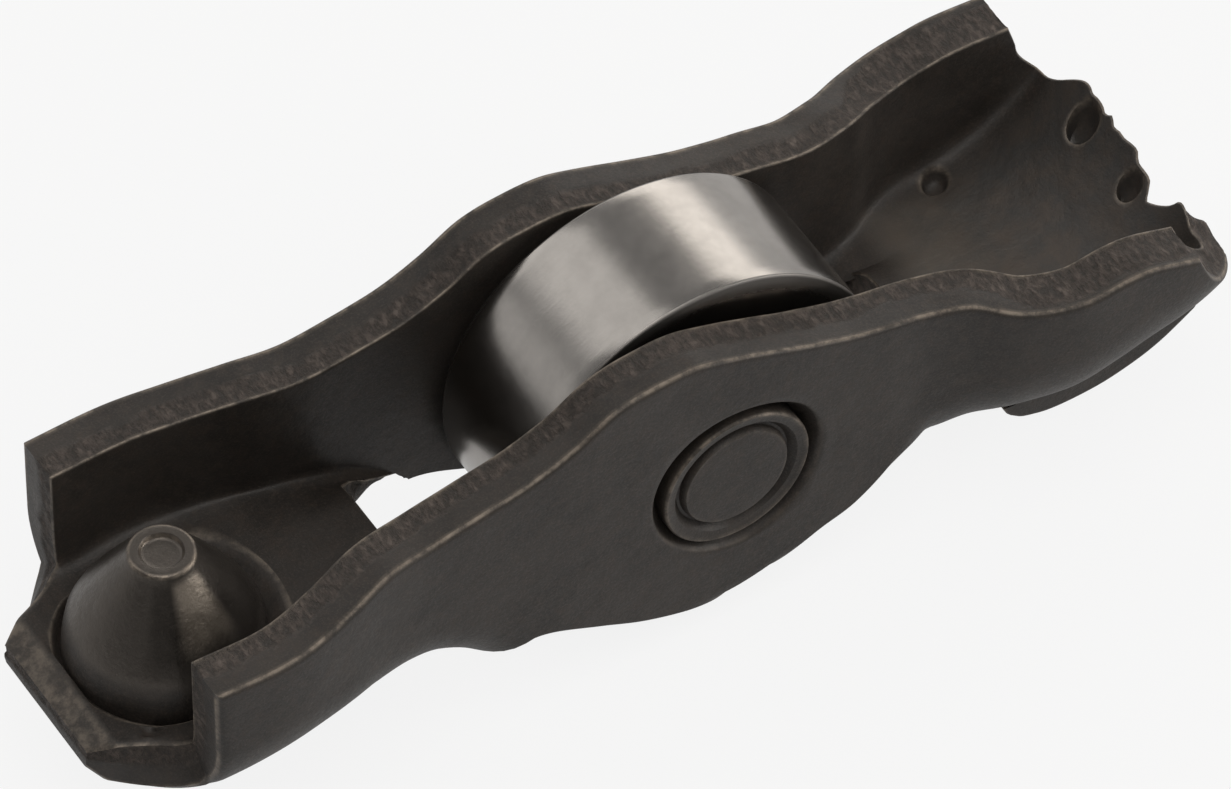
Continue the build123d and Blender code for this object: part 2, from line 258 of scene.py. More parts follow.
# the guide ears, with the end of the near one and of the far one
EAR_MIDDLE_Y = 4.7
EAR_HALF_THICKNESS = 1.1
EAR_ENDS = {-1: 48.0, 1: 47.4}
EAR_ROOT = 0.4
EAR_WORN_WIDTH = 0.1
EAR_TORN_SHARE = 0.8
EAR_TORN_DEEPER = 1.3
EAR_WOBBLE = ((0.04, 1.6, 8),)

# an ear's grid: bands at its start and end, columns in both and between, rows, rows of its rim
EAR_BANDS = (0.24, 0.4)
EAR_COLUMNS = (4, 46, 5)
EAR_ROWS = 15
EAR_CROWD = 1.6
EAR_RIM_ROWS = 9

# a distance past every rounding, a sliver, the least length that a vector is divided by, and the
# angle between faces that shades sharp
FAR_AWAY = 9.0
SLIVER = 1e-6
LEAST_LENGTH = 1e-9
SHARP_ANGLE = np.radians(38)

# the lattice noise: how far a seed shifts it, and the sine hash of a lattice point
SEED_SHIFT = 17.31
HASH_WAY = (127.1, 311.7, 74.7)
HASH_SCALE = 43758.5453


# ---------------------------------------------------------------- formulas
def smooth_step(share):
    """0 below 0, 1 above 1 and 3t^2 - 2t^3 between."""
    share = np.clip(share, 0, 1)
    return share * share * (3 - 2 * share)


def smooth_line(points, x):
    """Curve through (x, value) points: cubic pieces with the slopes of the points' secants."""
    at, value = np.array(points, float).T
    slope = np.gradient(value, at)
    x = np.clip(x, at[0], at[-1])
    i = np.clip(np.searchsorted(at, x, side="right") - 1, 0, len(at) - 2)
    span = at[i + 1] - at[i]
    t = (x - at[i]) / span
    start = (1 + 2 * t) * (1 - t) ** 2 * value[i] + t * (1 - t) ** 2 * span * slope[i]
    end = t * t * (3 - 2 * t) * value[i + 1] + t * t * (t - 1) * span * slope[i + 1]
    return start + end


def lattice_noise(points, cell, seed=0):
    """Smooth random field from -1 to 1: random values on a cubic lattice, blended between."""
    place = np.asarray(points) / cell + SEED_SHIFT * seed
    base = np.floor(place)
    share = smooth_step(place - base)
    total = np.zeros(place.shape[:-1])
    for corner in np.ndindex(2, 2, 2):
        mixed = np.sin((base + corner) @ np.array(HASH_WAY)) * HASH_SCALE
        value = 2 * (mixed - np.floor(mixed)) - 1
        total += value * np.prod(np.where(corner, share, 1 - share), axis=-1)
    return total


def noise_sum(points, noises, start=0.0):
    """Start value plus noises, each given by its amount, cell size and seed."""
    total = start
    for amount, cell, seed in noises:
        total = total + amount * lattice_noise(points, cell, seed)
    return total


def unit(vectors):
    """Vectors divided by their lengths."""
    length = np.linalg.norm(vectors, axis=-1, keepdims=True)
    return vectors / np.maximum(length, LEAST_LENGTH)


def between(low, high, share):
    """Straight blend from low to high."""
    return low + (high - low) * share


def nearest(values, target):
    """Number of the value nearest to the target."""
    return int(np.argmin(np.abs(values - target)))


# ---------------------------------------------------------------- the folded sheet
def wall_middle(x):
    """Distance from the centre plane to the middle of a wall's sheet."""
    return smooth_line(HALF_WIDTH, x) - SHEET / 2


def pad_middle(x):
    """Height of the pad's middle arc: a circle about the pad's centre line."""
    reach = np.minimum(np.abs(x - PAD_X), PAD_MIDDLE_RADIUS * PAD_ARC_SHARE)
    return PAD_CENTRE_Z - np.sqrt(PAD_MIDDLE_RADIUS ** 2 - reach ** 2)


def floor_middle(x):
    """Height of the sheet's middle on the centre plane."""
    return np.where(x < WINDOW_MIDDLE_X, smooth_line(FLOOR_LINE, x), pad_middle(x))


def side_middle(x):
    """Height that a wall's bend starts from: it falls away beside the roller window."""
    inside = (x > SIDE_LINE[0][0]) & (x < SIDE_LINE[-1][0])
    return np.where(inside, smooth_line(SIDE_LINE, x), floor_middle(x))


def sheet_point(x, s):
    """Middle of the sheet at station x, a distance s across it: floor, round bend, then wall."""
    across = np.abs(s)
    bend = smooth_line(BEND_RADIUS, x)
    flat = wall_middle(x) - bend
    turn = np.clip((across - flat) / bend, 0, pi / 2)
    climb = np.maximum(across - flat - bend * pi / 2, 0)
    share = smooth_step((across - LEVEL_HALF) / (flat - LEVEL_HALF))
    base = between(floor_middle(x), side_middle(x), share)
    sag = SAG_DEPTH * smooth_step((x - SAG_X) / SAG_LENGTH)
    sag = sag * smooth_step((-s - SAG_ACROSS) / SAG_WIDTH)
    y = np.minimum(across, flat) + bend * np.sin(turn)
    z = base - sag + bend * (1 - np.cos(turn)) + climb
    return np.stack([x + 0 * y, np.sign(s) * y, z], axis=-1)


def sheet_normal(x, s):
    """Unit normal of the sheet's middle, towards the inside of the channel."""
    step = 0.02
    along = sheet_point(x + step, s) - sheet_point(x - step, s)
    over = sheet_point(x, s + step) - sheet_point(x, s - step)
    return unit(np.cross(along, over))


def across_at(x, z):
    """Distance across the sheet at which a wall reaches height z."""
    bend = smooth_line(BEND_RADIUS, x)
    return wall_middle(x) - bend + bend * pi / 2 + z - side_middle(x) - bend


def across_knots(x, side):
    """Distances across the sheet that its rows follow: window edge to wall top, seven lines."""
    rise = np.where(side > 0, smooth_line(FAR_RISE, x), 0)
    top = across_at(x, smooth_line(WALL_TOP, x) + rise)
    low = np.maximum(across_at(x, smooth_line(WALL_LOW, x)), WINDOW_END_HALF)
    opened = np.minimum(
        (x - WINDOW_START_X) / WINDOW_START_FLARE, (WINDOW_END_X - x) / WINDOW_END_FLARE
    )
    edge = between(WINDOW_END_HALF, low, smooth_step(opened))
    root_share = smooth_line(ROOT_SHARE, x)
    root = between(edge, top, root_share)
    end_top = across_at(WALL_END_X, WALL_TOP[0][1])
    past_end = smooth_line(TONGUE_SIDE, x)
    joined = between(WINDOW_END_HALF, end_top, root_share)
    root = np.where(x < WALL_END_X, past_end + joined - TONGUE_SIDE[-1][1], root)
    dome_side = between(edge, root, smooth_line(DOME_SHARE, x))
    far = smooth_step(np.maximum(BORE_BOX[0] - x, x - BORE_BOX[1]) / BORE_BOX_BLEND)
    bore_low = (across_at(x, AXLE[2] - BORE_BOX_HALF) - root) / (top - root)
    bore_high = (across_at(x, AXLE[2] + BORE_BOX_HALF) - root) / (top - root)
    lower = between(np.clip(bore_low, *LOWER_LIMITS), LOWER_SHARE, far)
    upper = between(np.clip(bore_high, *UPPER_LIMITS), UPPER_SHARE, far)
    lower, upper = between(root, top, lower), between(root, top, upper)
    return np.stack([0 * x, edge, dome_side, root, lower, upper, top])


def corner_drop(x, s):
    """How far the inner face lies off a round bend: the inside corner is nearly square.

    The arc of radius r becomes r / (cos^p a + sin^p a)^(1/p) at the angle a of the bend.
    """
    bend = smooth_line(BEND_RADIUS, x)
    turn = np.clip((np.abs(s) - wall_middle(x) + bend) / bend, 0, pi / 2)
    power = between(*CORNER_POWER, smooth_step((x - CORNER_BLEND_X) / CORNER_BLEND))
    rounded = (np.cos(turn) ** power + np.sin(turn) ** power) ** (1 / power)
    return smooth_line(INNER_CORNER, x) * (bend - SHEET / 2) * (1 / rounded - 1)


def pressed_oval(x, s):
    """Height of the tongue's pressed oval: -exp(-r^4) in the middle, and a faint rim round it."""
    reach = np.hypot((x - OVAL_PLACE[0]) / OVAL_HALF[0], (s - OVAL_PLACE[1]) / OVAL_HALF[1])
    rim = np.exp(-((reach - OVAL_RIM_AT) / OVAL_RIM_WIDTH) ** 2)
    return OVAL_RIM * rim - OVAL_DEPTH * np.exp(-reach ** 4)


# ---------------------------------------------------------------- shells
class Shell:
    """Points, faces and point attributes of one closed mesh, collected block by block."""

    def __init__(self):
        self.points, self.wear, self.torn, self.faces, self.count = [], [], [], [], 0

    def add_points(self, points, wear=0.0, torn=0.0):
        """Adds a block of points and returns their numbers in the same layout."""
        points = np.asarray(points, float)
        layout = points.shape[:-1]
        number = int(np.prod(layout))
        self.points.append(points.reshape(-1, 3))
        self.wear.append(np.broadcast_to(wear, layout).reshape(-1))
        self.torn.append(np.broadcast_to(torn, layout).reshape(-1))
        self.count += number
        return np.arange(self.count - number, self.count).reshape(layout)

    def add_faces(self, faces):
        """Adds rows of three or four point numbers, counter-clockwise seen from outside."""
        self.faces.append(np.asarray(faces).reshape(-1, faces.shape[-1]))

    def build(self, name, body, slot_name, material, node):
        """Makes the mesh object inside its node's box and lets it ride on its body."""
        limits = [1000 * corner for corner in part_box(node)]
        points = np.clip(np.concatenate(self.points), *limits)
        used = np.unique(np.concatenate([block.ravel() for block in self.faces]))
        renumber = np.full(len(points), -1)
        renumber[used] = np.arange(len(used))
        faces = [row for block in self.faces for row in renumber[block].tolist()]
        mesh = bpy.data.meshes.new(name)
        mesh.from_pydata((points[used] * MM).tolist(), [], faces)
        for label, values in (("wear", self.wear), ("torn", self.torn)):
            attribute = mesh.attributes.new(label, "FLOAT", "POINT")
            attribute.data.foreach_set("value", np.concatenate(values)[used].astype(np.float32))
        mesh.polygons.foreach_set("use_smooth", np.ones(len(faces), bool))
        mesh.update()
        mesh.set_sharp_from_angle(angle=SHARP_ANGLE)
        mesh.materials.append(material)
        piece = bpy.data.objects.new(name, mesh)
        bpy.context.scene.collection.objects.link(piece)
        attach(piece, body)
        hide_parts(node)
        return piece


def ring_faces(outer, inner):
    """Quads between two rings of point numbers, both counter-clockwise seen from outside."""
    return np.stack([outer, np.roll(outer, -1), np.roll(inner, -1), inner], axis=-1)


def fan_faces(ring, centre):
    """Triangles from a ring to its centre point."""
    return np.stack([ring, np.roll(ring, -1), np.full_like(ring, centre)], axis=-1)


def open_edges(quads):
    """Directed edges that only one quad has: the border of a layer, with the quad on its left."""
    start = quads.ravel()
    end = np.roll(quads, -1, axis=1).ravel()
    number = quads.max() + 1
    alone = ~np.isin(start * number + end, end * number + start)
    return start[alone], end[alone]


def round_drop(distance, radius):
    """How far a face sinks near a rounded edge: a quarter circle of this radius."""
    inside = np.clip(radius - distance, 0, radius)
    return radius - np.sqrt(radius ** 2 - inside ** 2)


def sheared_rim(torn_share, depth):
    """Rim of sheared sheet: a smooth band by the outer face, torn metal by the inner one.

    The border between them wanders with two noises. The torn band sinks by the depth times a
    sum of streaks and chips, and past FULL_TORN_X nearly the whole rim is torn.
    """
    def shape(straight, share, outward):
        whole = smooth_step((straight[..., 0] - FULL_TORN_X) / FULL_TORN_FADE)
        border = 1 - between(torn_share, FULL_TORN_SHARE, whole)
        border = noise_sum(straight, RIM_BORDER, border)
        torn = smooth_step((share - border) / RIM_SOFTNESS)
        torn = torn * smooth_step((RIM_TORN_END - share) / RIM_SOFTNESS)
        rough = noise_sum(straight * RIM_STRETCH, RIM_STREAKS, RIM_CONSTANT)
        rough = noise_sum(straight, RIM_CHIPS, rough)
        sunk = noise_sum(straight, RIM_SWELL) - depth * torn * rough
        wear = np.exp(-(np.minimum(share, 1 - share) / RIM_WORN_SHARE) ** 2) + 0 * torn
        return straight + outward * sunk[..., None], wear, torn
    return shape


# ---------------------------------------------------------------- the arm
def stations(*runs):
    """Positions from (start, end, number) runs joined end to end."""
    parts = [np.linspace(start, end, number, endpoint=False) for start, end, number in runs]
    return np.append(np.concatenate(parts), runs[-1][1])


# runs of stations along the arm: close together at the ends of the walls and of the window
COLUMN_RUNS = (
    (TONGUE_TIP_X, -5.65, 3), (-5.65, DOME_BOX[0], 6), (DOME_BOX[0], WALL_END_X, 11),
    (WALL_END_X, -1.76, 5), (-1.76, DOME_BOX[1], 28), (DOME_BOX[1], 9.95, 17),
    (9.95, WINDOW_START_X, 4), (WINDOW_START_X, 11.6, 9), (11.6, BORE_BOX[0], 30),
    (*BORE_BOX, 38), (BORE_BOX[1], WINDOW_END_X, 27), (WINDOW_END_X, 36.0, 5), (36.0, 41.0, 20),
    (41.0, 46.0, 22), (46.0, 47.6, 10), (47.6, 47.88, 4), (47.88, 48.0, 4),
)

# numbers of the lines of across_knots, from the centre plane out
CENTRE_LINE, EDGE_LINE, DOME_LINE, ROOT_LINE, LOWER_LINE, UPPER_LINE, TOP_LINE = range(7)

# rows from one line to the next: the line, how many, and the side they crowd to
HALF_ROWS = (
    (CENTRE_LINE, 12, 0), (EDGE_LINE, 12, 1), (DOME_LINE, 5, 0), (ROOT_LINE, 8, 0),
    (LOWER_LINE, 26, 0), (UPPER_LINE, 12, -1),
)
CROWD = 1.9


def row_shares():
    """Lower line and share of each row from the centre out, closer at the sheared edges."""
    lines, shares = [], []
    for line, number, crowd in HALF_ROWS:
        share = np.arange(number) / number
        if crowd > 0:
            share = share ** CROWD
        if crowd < 0:
            share = 1 - (1 - share) ** CROWD
        lines.append(np.full(number, line))
        shares.append(share)
    lines.append([UPPER_LINE])
    shares.append([1.0])
    return np.concatenate(lines), np.concatenate(shares)


class ArmGrid:
    """Grid of the folded sheet: place along, distance across and both faces' points."""

    def __init__(self, sizes):
        base = stations(*COLUMN_RUNS)
        line, share = row_shares()
        side_rows = np.arange(-(len(line) - 1), len(line))
        half, sign = np.abs(side_rows), np.sign(side_rows)
        end_lines = across_knots(np.full(half.shape, END_ROWS_X), sign)
        rows = np.arange(len(half))
        end_across = sign * between(
            end_lines[line[half], rows], end_lines[line[half] + 1, rows], share[half]
        )
        end_x = smooth_line(VALVE_END, end_across)
        late = np.clip((base - END_BLEND_X) / (base[-1] - END_BLEND_X), 0, 1)
        self.x = np.where(
            late[:, None] > 0,
            END_BLEND_X + late[:, None] * (end_x - END_BLEND_X),
            base[:, None] + 0 * end_x,
        )
        lines = across_knots(self.x, sign[None, :])
        column = np.arange(len(base))[:, None]
        row = np.arange(len(half))[None, :]
        low = lines[line[half][None, :], column, row]
        high = lines[line[half][None, :] + 1, column, row]
        self.s = sign * between(low, high, share[half])
        self.base, self.half = base, half
        self.centre_row = len(line) - 1
        self.lines, self.end_x = lines, end_x
        self.measure_edges(sizes)

    def row_of(self, last):
        """Number of half rows from the centre out to a line of across_knots."""
        return sum(number for line, number, crowd in HALF_ROWS if line < last)

    def column_of(self, x):
        """Column nearest to a base station."""
        return nearest(self.base, x)

    def measure_edges(self, sizes):
        """Works out each point's distance to the nearest sheared edge, and both faces."""
        x, s = self.x, np.abs(self.s)
        edge, root, top = [self.lines[line] for line in (EDGE_LINE, ROOT_LINE, TOP_LINE)]
        far = np.full_like(x, FAR_AWAY)
        has_walls = x >= WALL_END_X - SLIVER
        on_wall = (self.half[None, :] >= self.row_of(ROOT_LINE)) & has_walls
        on_middle = self.half[None, :] <= self.row_of(EDGE_LINE)
        in_window = (self.base >= WINDOW_START_X - SLIVER) & (self.base <= WINDOW_END_X + SLIVER)
        slope = np.sqrt(1 - np.clip((x - PAD_X) / PAD_MIDDLE_RADIUS, 0, PAD_SLOPE_SHARE) ** 2)
        wall_end = np.where(on_wall, x - WALL_END_X, far)
        self.edge = np.minimum.reduce([
            np.where(has_walls, top - s, root - s),
            wall_end,
            np.where(in_window[:, None], np.maximum(s - edge, 0), far),
            np.where(on_middle & (x <= WINDOW_START_X), WINDOW_START_X - x, far),
            np.where(on_middle & (x >= WINDOW_END_X), x - WINDOW_END_X, far),
            (self.end_x - x) / slope,
        ])
        self.edge = np.maximum(self.edge, 0)
        tip = x - TONGUE_TIP_X
        bevel = BEVEL_WEAR * smooth_step((BEVEL_END - tip) / BEVEL_FADE)
        self.wear = np.maximum(np.exp(-(self.edge / WORN_WIDTH) ** 2), bevel)
        outer_round = np.maximum(
            round_drop(self.edge, sizes.outer_edge),
            round_drop(wall_end, np.where(self.s > 0, FAR_END_ROUND, sizes.end_round)),
        )
        nose_top, nose_low = [
            drop * np.clip(1 - tip / reach, 0, 1) for drop, reach in (NOSE_TOP, NOSE_LOW)
        ]
        over = SHEET / 2 - round_drop(self.edge, sizes.inner_edge) - nose_top
        under = SHEET / 2 - outer_round - nose_low
        middle, normal = sheet_point(x, self.s), sheet_normal(x, self.s)
        dent = noise_sum(middle, DENTS)
        lift = over - corner_drop(x, self.s) + dent + pressed_oval(x, self.s)
        self.inner = middle + normal * lift[..., None]
        low_x = self.under_stations()
        low_middle, low_normal = sheet_point(low_x, self.s), sheet_normal(low_x, self.s)
        self.outer = low_middle - low_normal * (under - dent)[..., None]

    def under_stations(self):
        """Stations of the outer face: past the near bend the valve end is cut upright."""
        end_s = self.s[-1]
        lean = sheet_normal(self.end_x, end_s)[:, 0]
        low_end = self.end_x
        for _ in range(4):
            low_end = self.end_x + SHEET / 2 * (lean + sheet_normal(low_end, end_s)[:, 0])
        upright = smooth_step((end_s + CUT_ACROSS) / CUT_WIDTH)
        late = smooth_step((self.x - END_BLEND_X) / (self.end_x - END_BLEND_X))
        return self.x - late * upright * (self.end_x - low_end)


def cell_quads(keep, number):
    """Quads of the kept cells, given the grid's point numbers."""
    a = number[:-1, :-1][keep]
    b = number[1:, :-1][keep]
    c = number[1:, 1:][keep]
    d = number[:-1, 1:][keep]
    return np.stack([a, b, c, d], axis=-1)


def box_loop(low_i, high_i, low_j, high_j):
    """Grid indices round a block of cells, counter-clockwise in place along and across."""
    i = np.concatenate([
        np.arange(low_i, high_i), np.full(high_j - low_j, high_i),
        np.arange(high_i, low_i, -1), np.full(high_j - low_j, low_i),
    ])
    j = np.concatenate([
        np.full(high_i - low_i, low_j), np.arange(low_j, high_j),
        np.full(high_i - low_i, high_j), np.arange(high_j, low_j, -1),
    ])
    return i, j


# shares of the way from a block's border to a round form at which rings blend the two, and the
# factor by which each ring stays inside the last
BLEND_SHARES = (0.4, 0.75)
PATCH_SHRINK = 0.97


def round_patch(
    shell, grid, number, box, centre, radii, place, wear, flip, shrink=PATCH_SHRINK
):
    """Fills a block of the grid with rings that shrink to the centre of a round form.

    Each ring keeps the directions of the block's border, so the border joins the grid, and stays
    inside it by the shrink factor. More rings blend from the border to the first radius.
    """
    i, j = box_loop(*box)
    x, s = grid.x[i, j], grid.s[i, j]
    away = np.stack([x - centre[0], s - centre[1]], axis=-1)
    length = np.linalg.norm(away, axis=-1)
    direction = away / length[:, None]
    last = number[i, j]
    faces = []
    inside = [
        np.minimum(radius(direction) if callable(radius) else radius, length * shrink ** (k + 1))
        for k, radius in enumerate(radii)
    ]
    reaches = [*(between(length, inside[0], share) for share in BLEND_SHARES), *inside]
    for index, reach in enumerate(reaches):
        ring = index - len(BLEND_SHARES)
        points = place(
            centre[0] + direction[:, 0] * reach, centre[1] + direction[:, 1] * reach, ring
        )
        fresh = shell.add_points(points, wear[ring] if ring >= 0 else 0.0)
        faces.append(ring_faces(last, fresh))
        last = fresh
    faces = np.concatenate(faces)
    shell.add_faces(faces[:, ::-1] if flip else faces)
    return last, faces


def close_patch(shell, last, point, flip):
    """Closes the innermost ring of a patch with a fan of triangles."""
    centre = shell.add_points(np.array([point]))[0]
    fan = fan_faces(last, centre)
    shell.add_faces(fan[:, ::-1] if flip else fan)
    return fan


def face_place(grid_side, depths):
    """Points of one face of the sheet, sunk by a ring's depth."""
    def place(x, s, ring):
        depth = depths[ring] if ring >= 0 else 0.0
        if grid_side > 0:
            depth = depth + corner_drop(x, s)
        lift = grid_side * (SHEET / 2 - depth) + 0 * x
        return sheet_point(x, s) + sheet_normal(x, s) * lift[..., None]
    return place


def pit_place(depths):
    """Points of a pressed pit in the inner face, sunk straight down by a ring's depth."""
    def place(x, s, ring):
        depth = depths[ring] if ring >= 0 else 0.0
        return face_place(1, [0.0])(x, s, -1) - np.array([0, 0, depth])
    return place


def moat_radius(share):
    """Radius of a ring of the moat by direction: the moat is widest towards the valve."""
    def radius(direction):
        outer = MOAT_OUTER + MOAT_STRETCH * smooth_step(direction[:, 0])
        return between(outer, MOAT_INNER, share)
    return radius


def dome_place(x, s, ring):
    """Top of the pivot dome: a shallow moat in the floor, the cone and its flat top."""
    floor = face_place(1, [0.0])(x, s, -1)
    if ring < 0:
        return floor
    if ring < len(MOAT_RINGS):
        return floor - np.array([0, 0, MOAT_RINGS[ring][1]])
    height = DOME_PROFILE[ring - len(MOAT_RINGS)][1]
    z = np.maximum(height, floor[:, 2] - DOME_ROOT_DEPTH)
    return np.stack([x, s, z + noise_sum(floor, DOME_WOBBLE)], axis=-1)


def socket_place(x, s, ring):
    """Underside of the dome: the socket's lead-in, its short wall and the half ball."""
    floor = sheet_point(x, s) - sheet_normal(x, s) * (SHEET / 2)
    if ring < 1:
        return floor
    heights = (SOCKET_MOUTH_Z, 0.0, *SOCKET_RADIUS * np.sin(BALL_ANGLES))
    return np.stack([x, s, np.full_like(x, heights[ring - 1])], axis=-1)


def round_boxes(grid):
    """Blocks of the grid that round forms fill: the dome's, the far bore's, the near bore's."""
    middle, rows = grid.centre_row, grid.row_of(DOME_LINE)
    columns = [grid.column_of(x) for x in DOME_BOX]
    bore = [grid.column_of(x) for x in BORE_BOX]
    low, high = grid.row_of(LOWER_LINE), grid.row_of(UPPER_LINE)
    return (
        (*columns, middle - rows, middle + rows),
        (*bore, middle + low, middle + high),
        (*bore, middle - high, middle - low),
    )


def pit_box(grid, centre, radius):
    """Block of the grid round a pit; it stops short of the valve edge."""
    along = grid.x[:, nearest(grid.s[-1], centre[1])]
    start = nearest(along, centre[0] - radius - PIT_ROOM_BEHIND)
    end = min(nearest(along, centre[0] + radius + PIT_ROOM), len(along) - 2)
    across, reach = grid.s[start], radius + PIT_ROOM
    return start, end, nearest(across, centre[1] - reach), nearest(across, centre[1] + reach)


def clear_box(keep, box):
    """Takes a block out of the kept cells."""
    keep[box[0]:box[1], box[2]:box[3]] = False


def kept_cells(grid, boxes):
    """Cells of plain sheet: not the window, the room beside the tongue or the given boxes."""
    columns, rows = grid.x.shape
    middle = grid.centre_row
    window_rows, wall_row = grid.row_of(EDGE_LINE), grid.row_of(ROOT_LINE)
    window = (grid.column_of(WINDOW_START_X), grid.column_of(WINDOW_END_X))
    ends = grid.column_of(WALL_END_X)
    keep = np.ones((columns - 1, rows - 1), bool)
    clear_box(keep, (*window, middle - window_rows, middle + window_rows))
    clear_box(keep, (0, ends, 0, middle - wall_row))
    clear_box(keep, (0, ends, middle + wall_row, rows))
    for box in boxes:
        clear_box(keep, box)
    return keep


def add_dome(shell, grid, inner, outer, box):
    """The dome in its moat and the ball socket under it; returns the dome's faces."""
    radii = [moat_radius(share) for share, depth in MOAT_RINGS]
    radii += [radius for radius, height in DOME_PROFILE]
    wear = np.zeros(len(radii))
    wear[0] = MOAT_WEAR
    wear[len(MOAT_RINGS) + np.array(WORN_DOME_POINTS)] = 1.0
    ring, faces = round_patch(
        shell, grid, inner, box, (0, 0), radii, dome_place, wear, False, DOME_SHRINK
    )
    close_patch(shell, ring, (0, 0, DOME_PROFILE[-1][1]), False)
    radii = [SOCKET_RADIUS + SOCKET_LEAD_IN, SOCKET_RADIUS, SOCKET_RADIUS]
    radii += list(SOCKET_RADIUS * np.cos(BALL_ANGLES))
    wear = np.zeros(len(radii))
    ring = round_patch(
        shell, grid, outer, box, (0, 0), radii, socket_place, wear, True, DOME_SHRINK
    )[0]
    close_patch(shell, ring, (0, 0, SOCKET_RADIUS), True)
    return faces


def add_bore(shell, grid, inner, outer, box, side):
    """Pin bore of one wall, chamfered outside; returns its inner faces and both last rings."""
    centre = (AXLE[0], side * across_at(np.array([AXLE[0]]), AXLE[2])[0])
    radii, depths, wear = zip(*BORE_INNER_RINGS)
    inner_ring, faces = round_patch(
        shell, grid, inner, box, centre, radii, face_place(1, depths), wear, False
    )
    radii, depths, wear = zip(*BORE_OUTER_RINGS)
    outer_ring = round_patch(
        shell, grid, outer, box, centre, radii, face_place(-1, depths), wear, True
    )[0]
    return faces, inner_ring, outer_ring


def add_pit(shell, grid, inner, box, centre, radius, depth):
    """One pressed pit with a worn rim, a steep side and a round bottom; returns its faces."""
    shares, steps, depth_shares, sinks, wear = np.array(PIT_RINGS).T
    radii = radius * shares + steps
    place = pit_place(depth * depth_shares + sinks)
    ring, faces = round_patch(shell, grid, inner, box, centre, radii, place, wear, False)
    bottom = place(np.array([centre[0]]), np.array([centre[1]]), len(radii) - 1)[0]
    close_patch(shell, ring, bottom, False)
    return faces


def lengthened(partner, count):
    """Partner numbers for more points; each added point is its own partner."""
    return np.concatenate([partner, np.arange(len(partner), count)])


def arm_shell(sizes):
    """The whole stamping as one closed shell, with its ears added."""
    shell, grid = Shell(), ArmGrid(sizes)
    inner = shell.add_points(grid.inner, grid.wear)
    outer = shell.add_points(grid.outer, grid.wear)
    partner = np.arange(shell.count) + inner.size
    dome_box, *bore_boxes = round_boxes(grid)
    keep = kept_cells(grid, (dome_box, *bore_boxes))
    shell.add_faces(cell_quads(keep, outer)[:, ::-1])
    pit_boxes = [pit_box(grid, centre, radius) for centre, radius, depth in PITS]
    for box in pit_boxes:
        clear_box(keep, box)
    plain = cell_quads(keep, inner)
    layer = [plain, add_dome(shell, grid, inner, outer, dome_box)]
    for box, side in zip(bore_boxes, (1, -1)):
        faces, inner_ring, outer_ring = add_bore(shell, grid, inner, outer, box, side)
        layer.append(faces)
        partner = lengthened(partner, shell.count)
        partner[inner_ring] = outer_ring
    for box, pit in zip(pit_boxes, PITS):
        layer.append(add_pit(shell, grid, inner, box, *pit))
    shell.add_faces(plain)
    partner = lengthened(partner, shell.count)
    start, end = open_edges(np.concatenate(layer))
    # rings that a fan closes are their own partners, and get no rim
    rim = partner[start] != start
    shape = sheared_rim(RIM_TORN_SHARE, sizes.torn_depth)
    rim_strip(shell, start[rim], end[rim], partner, sizes.rim_rows, shape)
    for side in (-1, 1):
        add_ear(shell, side, sizes)
    return shell


def rim_strip(shell, start, end, partner, rows, shape):
    """Strip of rows across the sheet's thickness along the given border edges."""
    points = np.concatenate(shell.points)
    border = np.unique(start)
    slot_of = np.full(shell.count, -1)
    slot_of[border] = np.arange(len(border))
    inner, outer = points[border], points[partner[border]]
    tangent = np.zeros((len(border), 3))
    run = unit(points[end] - points[start])
    np.add.at(tangent, slot_of[start], run)
    np.add.at(tangent, slot_of[end], run)
    outward = unit(np.cross(unit(tangent), unit(inner - outer)))
    near = RIM_WORN_SHARE
    share = np.concatenate([[near], np.arange(1, rows) / rows, [1 - near]])[:, None]
    straight = outer + (inner - outer) * share[..., None]
    moved, wear, torn = shape(straight, share, outward)
    strip = np.vstack([partner[border], shell.add_points(moved, wear, torn), border])
    a, b = strip[:, slot_of[start]], strip[:, slot_of[end]]
    shell.add_faces(np.stack([b[1:], a[1:], a[:-1], b[:-1]], axis=-1))


def add_ear(shell, side, sizes):
    """One guide ear: a plate from the pad's sheet down to a curved lower edge."""
    start, end = EAR_LOW[0][0], EAR_ENDS[side]
    stops = (start, start + EAR_BANDS[0], end - EAR_BANDS[1], end)
    along = stations(*zip(stops, stops[1:], EAR_COLUMNS))
    down = 1 - (1 - np.linspace(0, 1, EAR_ROWS)) ** EAR_CROWD
    x = along[:, None] + 0 * down
    lower_radius = PAD_MIDDLE_RADIUS + SHEET / 2
    top = PAD_CENTRE_Z - np.sqrt(lower_radius ** 2 - (x - PAD_X) ** 2) + EAR_ROOT
    low = smooth_line(EAR_LOW, x)
    z = between(low, top, 1 - down)[:, ::-1]
    distance = np.minimum.reduce([z - low, x - along[0], along[-1] - x])
    thick = EAR_HALF_THICKNESS - round_drop(distance, sizes.outer_edge)
    wear = np.exp(-(distance / EAR_WORN_WIDTH) ** 2)
    wobble = noise_sum(np.stack([x, 0 * x + side, z], axis=-1), EAR_WOBBLE)
    centre = side * EAR_MIDDLE_Y
    one = shell.add_points(np.stack([x, centre - thick + wobble, z], axis=-1), wear)
    other = shell.add_points(np.stack([x, centre + thick + wobble, z], axis=-1), wear)
    keep = np.ones((x.shape[0] - 1, x.shape[1] - 1), bool)
    quads = cell_quads(keep, one)
    shell.add_faces(quads)
    shell.add_faces(cell_quads(keep, other)[:, ::-1])
    partner = np.arange(shell.count)
    partner[one.ravel()] = other.ravel()
    start, end = open_edges(quads)
    shape = sheared_rim(EAR_TORN_SHARE, EAR_TORN_DEEPER * sizes.torn_depth)
    rim_strip(shell, start, end, partner, EAR_RIM_ROWS, shape)


# ---------------------------------------------------------------- turned pieces
# points of a rounded corner, and across the roller's track
CORNER_STEPS = 5
TRACK_POINTS = 13

